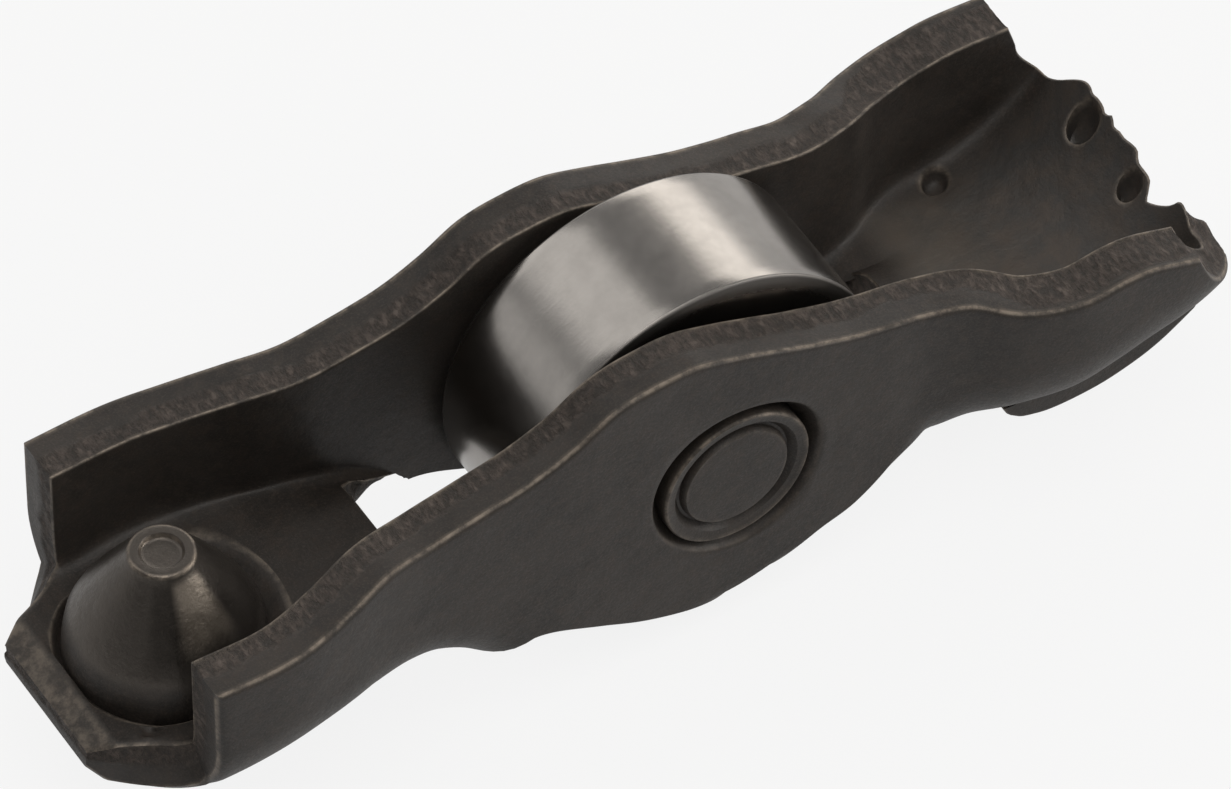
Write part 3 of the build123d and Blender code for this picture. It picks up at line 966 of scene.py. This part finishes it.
# the bevel of the roller's bore, and the points of its sides: what their span leaves free, and
# the shares of the span at which they lie
BORE_EDGE = 0.3
SIDE_ROOM = 0.5
SIDE_SHARES = (0, 0.4, 0.8)

# a staked end of the pin from its middle out to the shank: radius, place past the arm's side,
# wear; and how far inside that side the shank's next rings lie
PIN_END = (
    (0.6, -0.1, 0), (1.5, -0.1, 0), (2.35, -0.11, 0), (2.5, -0.12, 0.25), (2.58, -0.25, 0),
    (2.63, -0.5, 0), (2.76, -0.52, 0), (2.88, -0.4, 0), (3.05, -0.16, 0), (3.3, -0.11, 0),
    (3.42, -0.06, 0.2), (3.5, -0.05, 0.6), (PIN_RADIUS - 0.04, -0.1, 0.8),
    (PIN_RADIUS - 0.005, -0.2, 0.2),
)
SHANK_INSETS = (0.4, 0.8)


def turned_shell(profile, segments):
    """Closed ring or bar turned about the axle from a profile of (radius, y, wear) points.

    The angle runs once round; the profile runs so that its left side is metal.
    """
    shell = Shell()
    radius, y, wear = np.array(profile, float).T
    angle = 2 * pi * np.arange(segments) / segments
    x = AXLE[0] + radius[:, None] * np.cos(angle)
    z = AXLE[2] + radius[:, None] * np.sin(angle)
    points = np.stack([x, y[:, None] + 0 * x, z], axis=-1)
    return shell, shell.add_points(points, wear[:, None])


def rounded_corner(radius, y, reach_radius, reach_y, wear):
    """Points of a quarter round from (radius - reach_radius, y) to (radius, y - reach_y)."""
    turn = np.linspace(0, pi / 2, CORNER_STEPS)
    return [
        (radius - reach_radius * (1 - np.sin(t)), y - reach_y * (1 - np.cos(t)), wear)
        for t in turn
    ]


def roller_shell(sizes):
    """Roller ring: slightly crowned track, rounded shoulders, plain sides and bore."""
    half, outer = ROLLER_HALF_WIDTH, ROLLER_RADIUS
    bore = outer - sizes.roller_wall
    shoulder = sizes.roller_shoulder
    track = np.linspace(half - shoulder, -(half - shoulder), TRACK_POINTS)
    crown = sizes.roller_crown * (track / half) ** 2
    upper = rounded_corner(outer - sizes.roller_crown, half, shoulder, shoulder, 1.0)
    lower = [(radius, -y, wear) for radius, y, wear in upper[::-1]]
    outside = upper[:-1] + [(outer - c, y, 0.0) for c, y in zip(crown, track)] + lower[1:]
    span = outer - shoulder - bore - SIDE_ROOM
    side = [(bore + BORE_EDGE + span * share, half, 0.0) for share in SIDE_SHARES]
    profile = [(bore, half - BORE_EDGE, 0.0), *side, *outside]
    profile += [(radius, -y, wear) for radius, y, wear in side[::-1]]
    profile += [(bore, -half + BORE_EDGE, 0.0)]
    shell, number = turned_shell(profile, sizes.round_steps)
    for first, second in zip(number, np.roll(number, -1, axis=0)):
        shell.add_faces(ring_faces(first, second))
    return shell


def pin_shell(sizes):
    """Axle pin: plain shank and two staked ends, each with a groove and a raised rim."""
    half = MIDDLE_HALF_WIDTH
    shank = [half - inset for inset in SHANK_INSETS]
    shank += [0] + [-y for y in shank[::-1]]
    profile = [(radius, half + y, wear) for radius, y, wear in PIN_END]
    profile += [(PIN_RADIUS, y, 0) for y in shank]
    profile += [(radius, -half - y, wear) for radius, y, wear in PIN_END[::-1]]
    shell, number = turned_shell(profile, sizes.round_steps)
    for first, second in zip(number[:-1], number[1:]):
        shell.add_faces(ring_faces(first, second))
    middle = half + PIN_END[0][1]
    for ring, y, flip in ((number[0], middle, False), (number[-1], -middle, True)):
        centre = shell.add_points(np.array([(AXLE[0], y, AXLE[2])]))[0]
        fan = fan_faces(ring, centre)
        shell.add_faces(fan if flip else fan[:, ::-1])
    return shell


# ---------------------------------------------------------------- materials
# the two sockets of a mix node that take colours
COLOUR_SOCKETS = (6, 7)


def add_node(tree, kind, inputs=None, **settings):
    """Adds a shader node; inputs are values, or sockets to link from."""
    node = tree.nodes.new(kind)
    for key, value in settings.items():
        setattr(node, key, value)
    for key, value in (inputs or {}).items():
        if isinstance(value, bpy.types.NodeSocket):
            tree.links.new(value, node.inputs[key])
        else:
            node.inputs[key].default_value = value
    return node


def new_material(name):
    """Empty node material with its output; returns material, tree and output node."""
    material = bpy.data.materials.new(name)
    material.use_nodes = True
    tree = material.node_tree
    tree.nodes.clear()
    return material, tree, tree.nodes.new("ShaderNodeOutputMaterial")


def millimetres(tree, stretch=(1, 1, 1)):
    """Object coordinates in millimetres, stretched if asked."""
    place = add_node(tree, "ShaderNodeTexCoord").outputs["Object"]
    scale = [value / MM for value in stretch]
    return add_node(tree, "ShaderNodeMapping", {"Vector": place, "Scale": scale}).outputs[0]


def noise(tree, place, scale, detail, rough):
    """Noise socket from 0 to 1 at so many features a millimetre."""
    node = add_node(tree, "ShaderNodeTexNoise", {
        "Vector": place, "Scale": scale, "Detail": detail, "Roughness": rough,
    })
    return node.outputs["Fac"]


def ramp(tree, value, low, high, new_low=0.0, new_high=1.0):
    """Socket whose value goes from new_low to new_high as the given one goes low to high."""
    node = add_node(tree, "ShaderNodeMapRange", {
        "Value": value, "From Min": low, "From Max": high, "To Min": new_low, "To Max": new_high,
    }, interpolation_type="SMOOTHSTEP")
    return node.outputs["Result"]


def noise_ramp(tree, place, kind, limits):
    """Noise of a kind, ramped between limits."""
    return ramp(tree, noise(tree, place, *kind), *limits)


def combine(tree, operation, first, second):
    """Result of a two-value operation such as MAXIMUM."""
    return add_node(tree, "ShaderNodeMath", {0: first, 1: second}, operation=operation).outputs[0]


def product(tree, first, second):
    """Product of two values."""
    return combine(tree, "MULTIPLY", first, second)


def mix_colour(tree, share, first, second):
    """Blend of two colours."""
    node = add_node(tree, "ShaderNodeMix", {"Factor": share}, data_type="RGBA")
    for number, value in zip(COLOUR_SOCKETS, (first, second)):
        socket = node.inputs[number]
        if isinstance(value, bpy.types.NodeSocket):
            tree.links.new(value, socket)
        else:
            socket.default_value = (*value, 1)
    return node.outputs[2]


def dot(tree, vector, way):
    """Dot product of a vector socket with a fixed direction."""
    node = add_node(tree, "ShaderNodeVectorMath", {0: vector, 1: way}, operation="DOT_PRODUCT")
    return node.outputs["Value"]


def bump(tree, height, distance, below=None):
    """Normal socket from a height socket; distance is in millimetres."""
    inputs = {"Height": height, "Distance": distance * MM, "Strength": 1.0}
    if below is not None:
        inputs["Normal"] = below
    return add_node(tree, "ShaderNodeBump", inputs).outputs["Normal"]


def attribute(tree, name):
    """A point attribute's value."""
    return add_node(tree, "ShaderNodeAttribute", attribute_name=name).outputs["Fac"]


# noises of the patina: (features a millimetre, detail, roughness), with a ramp for most
CLOUD = ((0.22, 5.0, 0.6), (0.35, 0.68))
FLECK = ((1.7, 6.0, 0.75), (0.42, 0.7, 0.0, 0.45))
SPECK = ((11.0, 3.0, 0.6), (0.45, 0.75, 0.0, 0.3))
STAIN = ((0.75, 5.0, 0.7), (0.3, 0.72))
RUB = ((0.5, 3.0, 0.6), (0.3, 0.7, 0.75, 1.0))
STREAK = ((3.4, 6.0, 0.7), (0.34, 0.66))
STREAK_STRETCH = (1, 0.45, 0.7)
BREAK = ((1.3, 5.0, 0.7), (0.36, 0.66, 0.12, 1.0))
GRAIN = (7.0, 5.0, 0.65)
SCALE = (0.9, 4.0, 0.6)

# how much each layer hides of the layers below
# painted shade: the cone's dark wedge
PAINTED_SHADE_COVER = 0.48
# painted highlight: the cone's bright patch
PAINTED_HIGHLIGHT_COVER = 0.9
TROUGH_COVER = 0.8
# painted light: the trough's end by the roller
TROUGH_PAINTED_LIGHT_COVER = 0.16
WORN_COVER = 0.8

# gloss of the patina: ramp of the grain to roughness, and what torn and rubbed metal change
PATINA_ROUGHNESS = (0.25, 0.75, 0.4, 0.56)
TORN_ROUGHER = 0.18
RUBBED_SMOOTHER = 0.12
TROUGH_RUBBED = 0.55
WORN_METAL = 0.5
RUBBED_METAL = 0.9
PATINA_SPECULAR = 0.32

# heights of its bumps, in mm
SCALE_BUMP = 0.05
GRAIN_BUMP = 0.014
TORN_BUMP = 0.09

# painted light on the cone: direction round the dome, cosines and radii between which each fades
# in
# a bright patch of painted highlight
PATCH = ((0.139, -0.99, 0), (0.88, 0.98), (3.8, 2.9))
# a dark wedge of painted shade
WEDGE = ((-0.42, -0.907, 0), (0.92, 0.99), (4.1, 3.4))
CONE_FOOT = (4.3, 3.9)
CONE_TOP = (1.5, 1.8)

# the trough over the valve pad: where it fades in along and across, and its painted light end
TROUGH_ALONG = (36.8, 39.0)
TROUGH_ACROSS = (5.6, 4.0)
TROUGH_PAINTED_LIGHT = (43.5, 38.5)


def dome_masks(tree, place):
    """Masks of the cone, its wedge of painted shade and its patch of painted highlight.

    The cone fades with the distance from the dome's axis. A mark is the product of a ramp on
    the cosine of the angle to its direction and ramps on that distance.
    """
    flat = add_node(tree, "ShaderNodeMapping", {"Vector": place, "Scale": (1, 1, 0)}).outputs[0]
    reach = add_node(tree, "ShaderNodeVectorMath", {0: flat}, operation="LENGTH").outputs["Value"]
    way = add_node(tree, "ShaderNodeVectorMath", {0: flat}, operation="NORMALIZE").outputs[0]
    masks = [ramp(tree, reach, *CONE_FOOT)]
    for direction, cosines, radii in (WEDGE, PATCH):
        facing = ramp(tree, dot(tree, way, direction), *cosines)
        within = product(tree, ramp(tree, reach, *radii), ramp(tree, reach, *CONE_TOP))
        masks.append(product(tree, facing, within))
    return masks


def trough_masks(tree, place):
    """Masks of the trough and of its painted light end by the roller: ramps along and across."""
    axes = add_node(tree, "ShaderNodeSeparateXYZ", {0: place}).outputs
    aside = combine(tree, "ABSOLUTE", axes[1], 0.0)
    across = ramp(tree, aside, *TROUGH_ACROSS)
    trough = product(tree, ramp(tree, axes[0], *TROUGH_ALONG), across)
    return trough, product(tree, ramp(tree, axes[0], *TROUGH_PAINTED_LIGHT), trough)


def patina(tree, place, finish):
    """Clouds of dark and light patina with warm flecks."""
    cloud = noise_ramp(tree, place, *CLOUD)
    colour = mix_colour(tree, cloud, finish.arm_dark, finish.arm_light)
    return mix_colour(tree, noise_ramp(tree, place, *FLECK), colour, finish.arm_warm)


def blackened_steel(name, finish):
    """Blackened steel: brown-grey patina, torn edges, rubbed corners and fine scale.

    The dome's cone and the trough over the valve pad are rubbed brighter and carry painted light.
    """
    material, tree, output = new_material(name)
    place = millimetres(tree)
    # the wedge is painted shade and the patch a painted highlight
    cone, wedge, patch = dome_masks(tree, place)
    trough, trough_painted_light = trough_masks(tree, place)
    torn = attribute(tree, "torn")
    ragged = noise_ramp(tree, millimetres(tree, STREAK_STRETCH), *STREAK)
    worn = product(tree, attribute(tree, "wear"), noise_ramp(tree, place, *BREAK))
    uneven = noise_ramp(tree, place, *RUB)
    stain = noise_ramp(tree, place, *STAIN)

    colour = patina(tree, place, finish)
    layers = (
        (product(tree, cone, uneven), finish.rubbed_colour),
        # painted shade: the cone's dark wedge
        (product(tree, wedge, PAINTED_SHADE_COVER), finish.arm_dark),
        # painted highlight: the cone's bright patch
        (product(tree, patch, PAINTED_HIGHLIGHT_COVER), finish.painted_light_colour),
        (noise_ramp(tree, place, *SPECK), finish.torn_colour),
        (product(tree, trough, TROUGH_COVER),
         mix_colour(tree, stain, finish.stain_blue, finish.stain_brown)),
        # painted light: the trough's end by the roller
        (product(tree, trough_painted_light, TROUGH_PAINTED_LIGHT_COVER), finish.painted_light_colour),
        (torn, mix_colour(tree, ragged, finish.arm_light, finish.torn_colour)),
        (product(tree, worn, WORN_COVER), finish.worn_colour),
    )
    for share, layer in layers:
        colour = mix_colour(tree, share, colour, layer)

    grain = noise(tree, place, *GRAIN)
    rubbed = combine(tree, "MAXIMUM", cone, product(tree, trough, TROUGH_RUBBED))
    rubbed = product(tree, rubbed, uneven)
    rough = ramp(tree, grain, *PATINA_ROUGHNESS)
    rough = combine(tree, "ADD", rough, product(tree, torn, TORN_ROUGHER))
    rough = combine(tree, "SUBTRACT", rough, product(tree, rubbed, RUBBED_SMOOTHER))
    bare, shiny = product(tree, worn, WORN_METAL), product(tree, rubbed, RUBBED_METAL)
    metal = combine(tree, "MAXIMUM", bare, shiny)
    normal = bump(tree, noise(tree, place, *SCALE), SCALE_BUMP)
    normal = bump(tree, grain, GRAIN_BUMP, normal)
    normal = bump(tree, product(tree, ragged, torn), TORN_BUMP, normal)
    shader = add_node(tree, "ShaderNodeBsdfPrincipled", {
        "Base Color": colour, "Roughness": rough, "Metallic": metal,
        "Normal": normal, "Specular IOR Level": PATINA_SPECULAR,
    })
    tree.links.new(shader.outputs[0], output.inputs["Surface"])
    return material


# noises of the ground steel: (features a millimetre, detail, roughness), then a ramp
GROUND_CLOUD = ((0.55, 4.0, 0.6), (0.3, 0.7))
GROUND_MOTTLE = (2.4, 5.0, 0.7)
GROUND_GRAIN = (9.0, 3.0, 0.6)

# the ground lines: their stretch, detail and roughness, and the ramp to how much they darken
LINES_STRETCH = (0.12, 1, 0.12)
LINES_FINE = (3.0, 0.6)
LINES_RAMP = (0.3, 0.7, 0.0, 0.18)

# shares of the colour in dark clouds and at rubbed edges
DARKER_SHARE = 0.87
DULL_SHARE = 0.5

# limits of the mottling, the change of roughness between them, and that of rubbed edges
MOTTLE_LIMITS = (0.3, 0.7)
MOTTLE_CHANGE = (-0.01, 0.03)
DULL_ROUGHER = 0.25

# heights of the bumps of the lines and of the fine grain, in mm
LINES_BUMP = 0.0016
GROUND_BUMP = 0.0014

# roughness of the roller and of the needles, and the features a millimetre of their lines
ROLLER_GROUND = (0.22, 5.0)
NEEDLE_GROUND = (0.2, 8.0)


def ground_steel(name, colour, roughness, lines):
    """Ground bearing steel: lines round the axle, faint clouds and rubbed edges."""
    material, tree, output = new_material(name)
    place = millimetres(tree)
    wear = attribute(tree, "wear")
    rings = noise(tree, millimetres(tree, LINES_STRETCH), lines, *LINES_FINE)
    darker = [DARKER_SHARE * channel for channel in colour]
    dull = [DULL_SHARE * channel for channel in colour]
    shade = mix_colour(tree, noise_ramp(tree, place, *GROUND_CLOUD), darker, colour)
    shade = mix_colour(tree, ramp(tree, rings, *LINES_RAMP), shade, darker)
    shade = mix_colour(tree, wear, shade, dull)
    levels = [roughness + change for change in MOTTLE_CHANGE]
    rough = ramp(tree, noise(tree, place, *GROUND_MOTTLE), *MOTTLE_LIMITS, *levels)
    rough = combine(tree, "ADD", rough, product(tree, wear, DULL_ROUGHER))
    normal = bump(tree, rings, LINES_BUMP)
    normal = bump(tree, noise(tree, place, *GROUND_GRAIN), GROUND_BUMP, normal)
    shader = add_node(tree, "ShaderNodeBsdfPrincipled", {
        "Base Color": shade, "Roughness": rough, "Metallic": 1.0, "Normal": normal,
    })
    tree.links.new(shader.outputs[0], output.inputs["Surface"])
    return material


# ---------------------------------------------------------------- settings
class ArmSizes(PropertyGroup):
    """Edges and rims of the stamping, and steps of the turned pieces."""
    outer_edge: FloatProperty(
        name="Outer edge", description="Radius of the sheet's outer edges, in millimetres",
        default=0.2, min=0.01, max=1.0)
    inner_edge: FloatProperty(
        name="Inner edge", description="Radius of the sheet's inner edges, in millimetres",
        default=0.1, min=0.01, max=1.0)
    torn_depth: FloatProperty(
        name="Torn depth", description="Depth of the torn band of a sheared rim, in millimetres",
        default=0.09, min=0.0, max=0.3)
    end_round: FloatProperty(
        name="End round", description="Rounding of the walls' ends at the pivot, in millimetres",
        default=0.4, min=0.01, max=1.2)
    rim_rows: IntProperty(
        name="Rim rows", description="Rows of faces across a sheared rim", default=12,
        min=4, subtype="UNSIGNED")
    roller_wall: FloatProperty(
        name="Roller wall", description="Wall of the roller ring, in millimetres",
        default=3.5886, min=1.0, max=6.0)
    roller_shoulder: FloatProperty(
        name="Roller shoulder", description="Rounding of the roller's edges, in millimetres",
        default=0.14, min=0.05, max=1.0)
    roller_crown: FloatProperty(
        name="Roller crown", description="Drop of the track at its edges, in millimetres",
        default=0.015, min=0.0, max=0.1)
    round_steps: IntProperty(
        name="Steps round", description="Faces round a turned piece", default=192,
        min=32, subtype="UNSIGNED")


class Finishes(PropertyGroup):
    """Colours of the steel surfaces."""
    arm_dark: FloatVectorProperty(
        name="Arm, dark", description="Darkest patina of the arm", subtype="COLOR",
        default=(0.021, 0.018, 0.0155))
    arm_light: FloatVectorProperty(
        name="Arm, light", description="Lightest patina of the arm", subtype="COLOR",
        default=(0.036, 0.031, 0.027))
    arm_warm: FloatVectorProperty(
        name="Arm, warm", description="Brown flecks of the arm", subtype="COLOR",
        default=(0.052, 0.038, 0.029))
    torn_colour: FloatVectorProperty(
        name="Torn edge", description="Torn metal of the sheared rims", subtype="COLOR",
        default=(0.1, 0.08, 0.068))
    worn_colour: FloatVectorProperty(
        name="Worn edge", description="Metal that shows at rubbed corners", subtype="COLOR",
        default=(0.3, 0.25, 0.2))
    stain_brown: FloatVectorProperty(
        name="Trough, brown", description="Brown stains of the trough", subtype="COLOR",
        default=(0.104, 0.086, 0.073))
    stain_blue: FloatVectorProperty(
        name="Trough, blue", description="Blue-grey stains of the trough", subtype="COLOR",
        default=(0.076, 0.073, 0.07))
    # painted light: the cone's painted highlight and the trough's painted light end
    painted_light_colour: FloatVectorProperty(
        name="Painted light", description="Painted highlight of the cone and painted light of the trough", subtype="COLOR",
        default=(0.4, 0.345, 0.285))
    rubbed_colour: FloatVectorProperty(
        name="Rubbed faces", description="Metal of the dome's cone and of the trough",
        subtype="COLOR", default=(0.105, 0.093, 0.082))
    roller_colour: FloatVectorProperty(
        name="Roller", description="Ground steel of the roller", subtype="COLOR",
        default=(0.41, 0.385, 0.36))
    needle_colour: FloatVectorProperty(
        name="Needles", description="Ground steel of the needles", subtype="COLOR",
        default=(0.6, 0.59, 0.57))


class StudioSettings(PropertyGroup):
    """Camera and light."""
    azimuth: FloatProperty(
        name="Azimuth", description="Angle of the camera round the object",
        default=np.radians(-31.614), subtype="ANGLE")
    elevation: FloatProperty(
        name="Elevation", description="Angle of the camera above the floor",
        default=np.radians(49.355), subtype="ANGLE")
    distance: FloatProperty(
        name="Distance", description="From the axle to the camera", default=0.542106,
        subtype="DISTANCE")
    lens: FloatProperty(
        name="Lens", description="Focal length in millimetres on a 36 mm frame",
        default=373.5, unit="CAMERA")
    backdrop: FloatProperty(
        name="Backdrop", description="Share of plain white that the camera sees in the floor",
        default=0.86, min=0.0, max=1.0, subtype="FACTOR")


class FollowerSettings(PropertyGroup):
    """All settings of the follower."""
    sizes: PointerProperty(type=ArmSizes)
    finish: PointerProperty(type=Finishes)
    studio: PointerProperty(type=StudioSettings)


def settings():
    """The scene's follower settings."""
    return bpy.context.scene.follower


# ---------------------------------------------------------------- operators
class FOLLOWER_OT_stage(Operator):
    """Make the floor, the backdrop, the lamps and the camera"""
    bl_idname = "follower.stage"
    bl_label = "Studio"

    def execute(self, context):
        studio = settings().studio
        make_camera(studio)
        make_floor(studio)
        make_world()
        make_lamps()
        return {"FINISHED"}


class FOLLOWER_OT_arm(Operator):
    """Make the stamped arm with its dome, pad, ears and sheared rims"""
    bl_idname = "follower.arm"
    bl_label = "Arm"

    def execute(self, context):
        shell = arm_shell(settings().sizes)
        material = blackened_steel("arm_patina", settings().finish)
        shell.build("arm_stamping", "arm", "arm_steel", material, "arm_body")
        return {"FINISHED"}


class FOLLOWER_OT_pin(Operator):
    """Make the staked axle pin"""
    bl_idname = "follower.pin"
    bl_label = "Axle pin"

    def execute(self, context):
        material = blackened_steel("pin_patina", settings().finish)
        pin_shell(settings().sizes).build("staked_pin", "arm", "pin_steel", material, "axle_pin")
        return {"FINISHED"}


class FOLLOWER_OT_roller(Operator):
    """Make the ground roller ring"""
    bl_idname = "follower.roller"
    bl_label = "Roller"

    def execute(self, context):
        finish = settings().finish
        material = ground_steel("roller_ground", finish.roller_colour, *ROLLER_GROUND)
        shell = roller_shell(settings().sizes)
        shell.build("roller_track", "roller", "roller_steel", material, "roller_ring")
        return {"FINISHED"}


class FOLLOWER_OT_needles(Operator):
    """Give the needles their ground finish"""
    bl_idname = "follower.needles"
    bl_label = "Needles"

    def execute(self, context):
        colour = settings().finish.needle_colour
        material = ground_steel("needle_ground", colour, *NEEDLE_GROUND)
        for name, node in frame["nodes"].items():
            if name.startswith("needle_"):
                for slot in node.material_slots:
                    slot.material = material
        return {"FINISHED"}


class FOLLOWER_PT_panel(Panel):
    """Panel of the follower's pieces and settings"""
    bl_label = "Roller finger follower"
    bl_space_type = "VIEW_3D"
    bl_region_type = "UI"
    bl_category = "Follower"

    def draw(self, context):
        for operator in OPERATORS:
            self.layout.operator(operator.bl_idname)
        for group in (settings().sizes, settings().finish, settings().studio):
            box = self.layout.box()
            for name in group.__annotations__:
                box.prop(group, name)


OPERATORS = (
    FOLLOWER_OT_stage, FOLLOWER_OT_arm, FOLLOWER_OT_pin, FOLLOWER_OT_roller, FOLLOWER_OT_needles,
)
CLASSES = (ArmSizes, Finishes, StudioSettings, FollowerSettings, *OPERATORS, FOLLOWER_PT_panel)


# ---------------------------------------------------------------- stage
SENSOR_WIDTH = 36.0
CLIP_START = 0.01
CAMERA_OFFSET = (-1.827, -0.568)
FLOOR_HALF = 3.0
FLOOR_GREY = (0.6, 0.6, 0.6, 1)
FLOOR_MIRRORED = 0.55
WHITE = (1, 1, 1, 1)

# the studio round the object: its light side, the ramp of its level towards that side, and the
# ramp of its level with height, which dims the zenith
LIGHT_SIDE = (0.6, 0.75, 0.1)
LIGHT_RAMP = (-0.8, 0.9, 0.13, 0.68)
ZENITH_RAMP = (0.4, 0.75, 1.0, 0.4)

# soft boxes: name, direction from the axle, distance, width and height in m, radiance, colour
LAMPS = (
    ("softbox_right", (0.66, 0.56, 0.51), 0.5, 0.50, 0.18, 1.6, (1.0, 0.96, 0.9)),
    ("softbox_back", (-0.31, 0.555, 0.77), 0.5, 0.26, 0.42, 0.85, (1.0, 0.99, 0.97)),
    ("softbox_front", (0.8, -0.48, 0.38), 0.5, 0.26, 0.22, 4.4, (1.0, 0.98, 0.95)),
    ("softbox_above", (-0.1, -0.28, 0.95), 0.5, 0.42, 0.42, 2.2, (1.0, 0.98, 0.95)),
    ("softbox_left", (-0.82, 0.5, 0.28), 0.5, 0.28, 0.16, 0.3, (1.0, 0.99, 0.97)),
)


def make_camera(studio):
    """Camera that looks down on the pivot end, with its frame's offset built into its place."""
    a, e = studio.azimuth, studio.elevation
    right = Vector((np.cos(a), np.sin(a), 0))
    back = Vector((np.sin(a) * np.cos(e), -np.cos(a) * np.cos(e), np.sin(e)))
    up = back.cross(right)
    data = bpy.data.cameras.new("camera")
    data.sensor_width = SENSOR_WIDTH
    data.lens = studio.lens
    data.clip_start = CLIP_START
    camera = bpy.data.objects.new("camera", data)
    offset = CAMERA_OFFSET[0] * right + CAMERA_OFFSET[1] * up
    place = Vector(AXLE) * MM + back * studio.distance + offset * MM
    turn = Matrix((right, up, back)).transposed().to_4x4()
    camera.matrix_world = Matrix.Translation(place) @ turn
    bpy.context.scene.collection.objects.link(camera)
    bpy.context.scene.camera = camera


def make_floor(studio):
    """Plain white floor under the lowest point, which keeps a faint shadow."""
    low = min(ARM_LOW.z, ROLLER_LOW.z) * MM
    half = FLOOR_HALF
    mesh = bpy.data.meshes.new("floor")
    corners = [(-half, -half, low), (half, -half, low), (half, half, low), (-half, half, low)]
    mesh.from_pydata(corners, [], [(0, 1, 2, 3)])
    floor = bpy.data.objects.new("floor", mesh)
    bpy.context.scene.collection.objects.link(floor)
    material, tree, output = new_material("floor_white")
    path = add_node(tree, "ShaderNodeLightPath")
    mirrored = product(tree, path.outputs["Is Glossy Ray"], FLOOR_MIRRORED)
    seen = combine(tree, "MAXIMUM", path.outputs["Is Camera Ray"], mirrored)
    seen = combine(tree, "MAXIMUM", seen, path.outputs["Is Transmission Ray"])
    matt = add_node(tree, "ShaderNodeBsdfDiffuse", {"Color": FLOOR_GREY})
    white = add_node(tree, "ShaderNodeEmission", {"Color": WHITE, "Strength": 1.0})
    mixed = add_node(tree, "ShaderNodeMixShader", {
        0: product(tree, seen, studio.backdrop), 1: matt.outputs[0], 2: white.outputs[0],
    })
    tree.links.new(mixed.outputs[0], output.inputs["Surface"])
    mesh.materials.append(material)


def make_world():
    """White for the camera; for the object, a studio that is light behind and dim in front."""
    world = bpy.data.worlds.new("studio")
    bpy.context.scene.world = world
    world.use_nodes = True
    tree = world.node_tree
    tree.nodes.clear()
    output = tree.nodes.new("ShaderNodeOutputWorld")
    direction = add_node(tree, "ShaderNodeTexCoord").outputs["Generated"]
    behind = dot(tree, direction, LIGHT_SIDE)
    height = add_node(tree, "ShaderNodeSeparateXYZ", {0: direction}).outputs[2]
    level = ramp(tree, behind, *LIGHT_RAMP)
    level = product(tree, level, ramp(tree, height, *ZENITH_RAMP))
    studio = add_node(tree, "ShaderNodeBackground", {"Color": WHITE, "Strength": level})
    white = add_node(tree, "ShaderNodeBackground", {"Color": WHITE, "Strength": 1.0})
    path = add_node(tree, "ShaderNodeLightPath")
    mixed = add_node(tree, "ShaderNodeMixShader", {
        0: path.outputs["Is Camera Ray"], 1: studio.outputs[0], 2: white.outputs[0],
    })
    tree.links.new(mixed.outputs[0], output.inputs["Surface"])


def make_lamps():
    """Soft boxes that face the axle."""
    centre = Vector(AXLE) * MM
    for name, direction, distance, width, height, radiance, colour in LAMPS:
        data = bpy.data.lights.new(name, "AREA")
        data.shape = "RECTANGLE"
        data.size = width
        data.size_y = height
        data.energy = radiance * pi * width * height
        data.color = colour
        lamp = bpy.data.objects.new(name, data)
        away = Vector(direction).normalized()
        lamp.matrix_world = (
            Matrix.Translation(centre + away * distance)
            @ away.to_track_quat("Z", "Y").to_matrix().to_4x4()
        )
        bpy.context.scene.collection.objects.link(lamp)


# ---------------------------------------------------------------- run
def register():
    """Adds the classes and the scene's settings."""
    for item in CLASSES:
        bpy.utils.register_class(item)
    bpy.types.Scene.follower = PointerProperty(type=FollowerSettings)


def unregister():
    """Takes the settings and the classes away again."""
    del bpy.types.Scene.follower
    for item in reversed(CLASSES):
        bpy.utils.unregister_class(item)


def main():
    register()
    scene = bpy.context.scene
    scene.view_settings.view_transform = "Standard"
    bpy.ops.follower.stage()
    bpy.ops.follower.arm()
    bpy.ops.follower.pin()
    bpy.ops.follower.roller()
    bpy.ops.follower.needles()


if __name__ == "__main__":
    main()
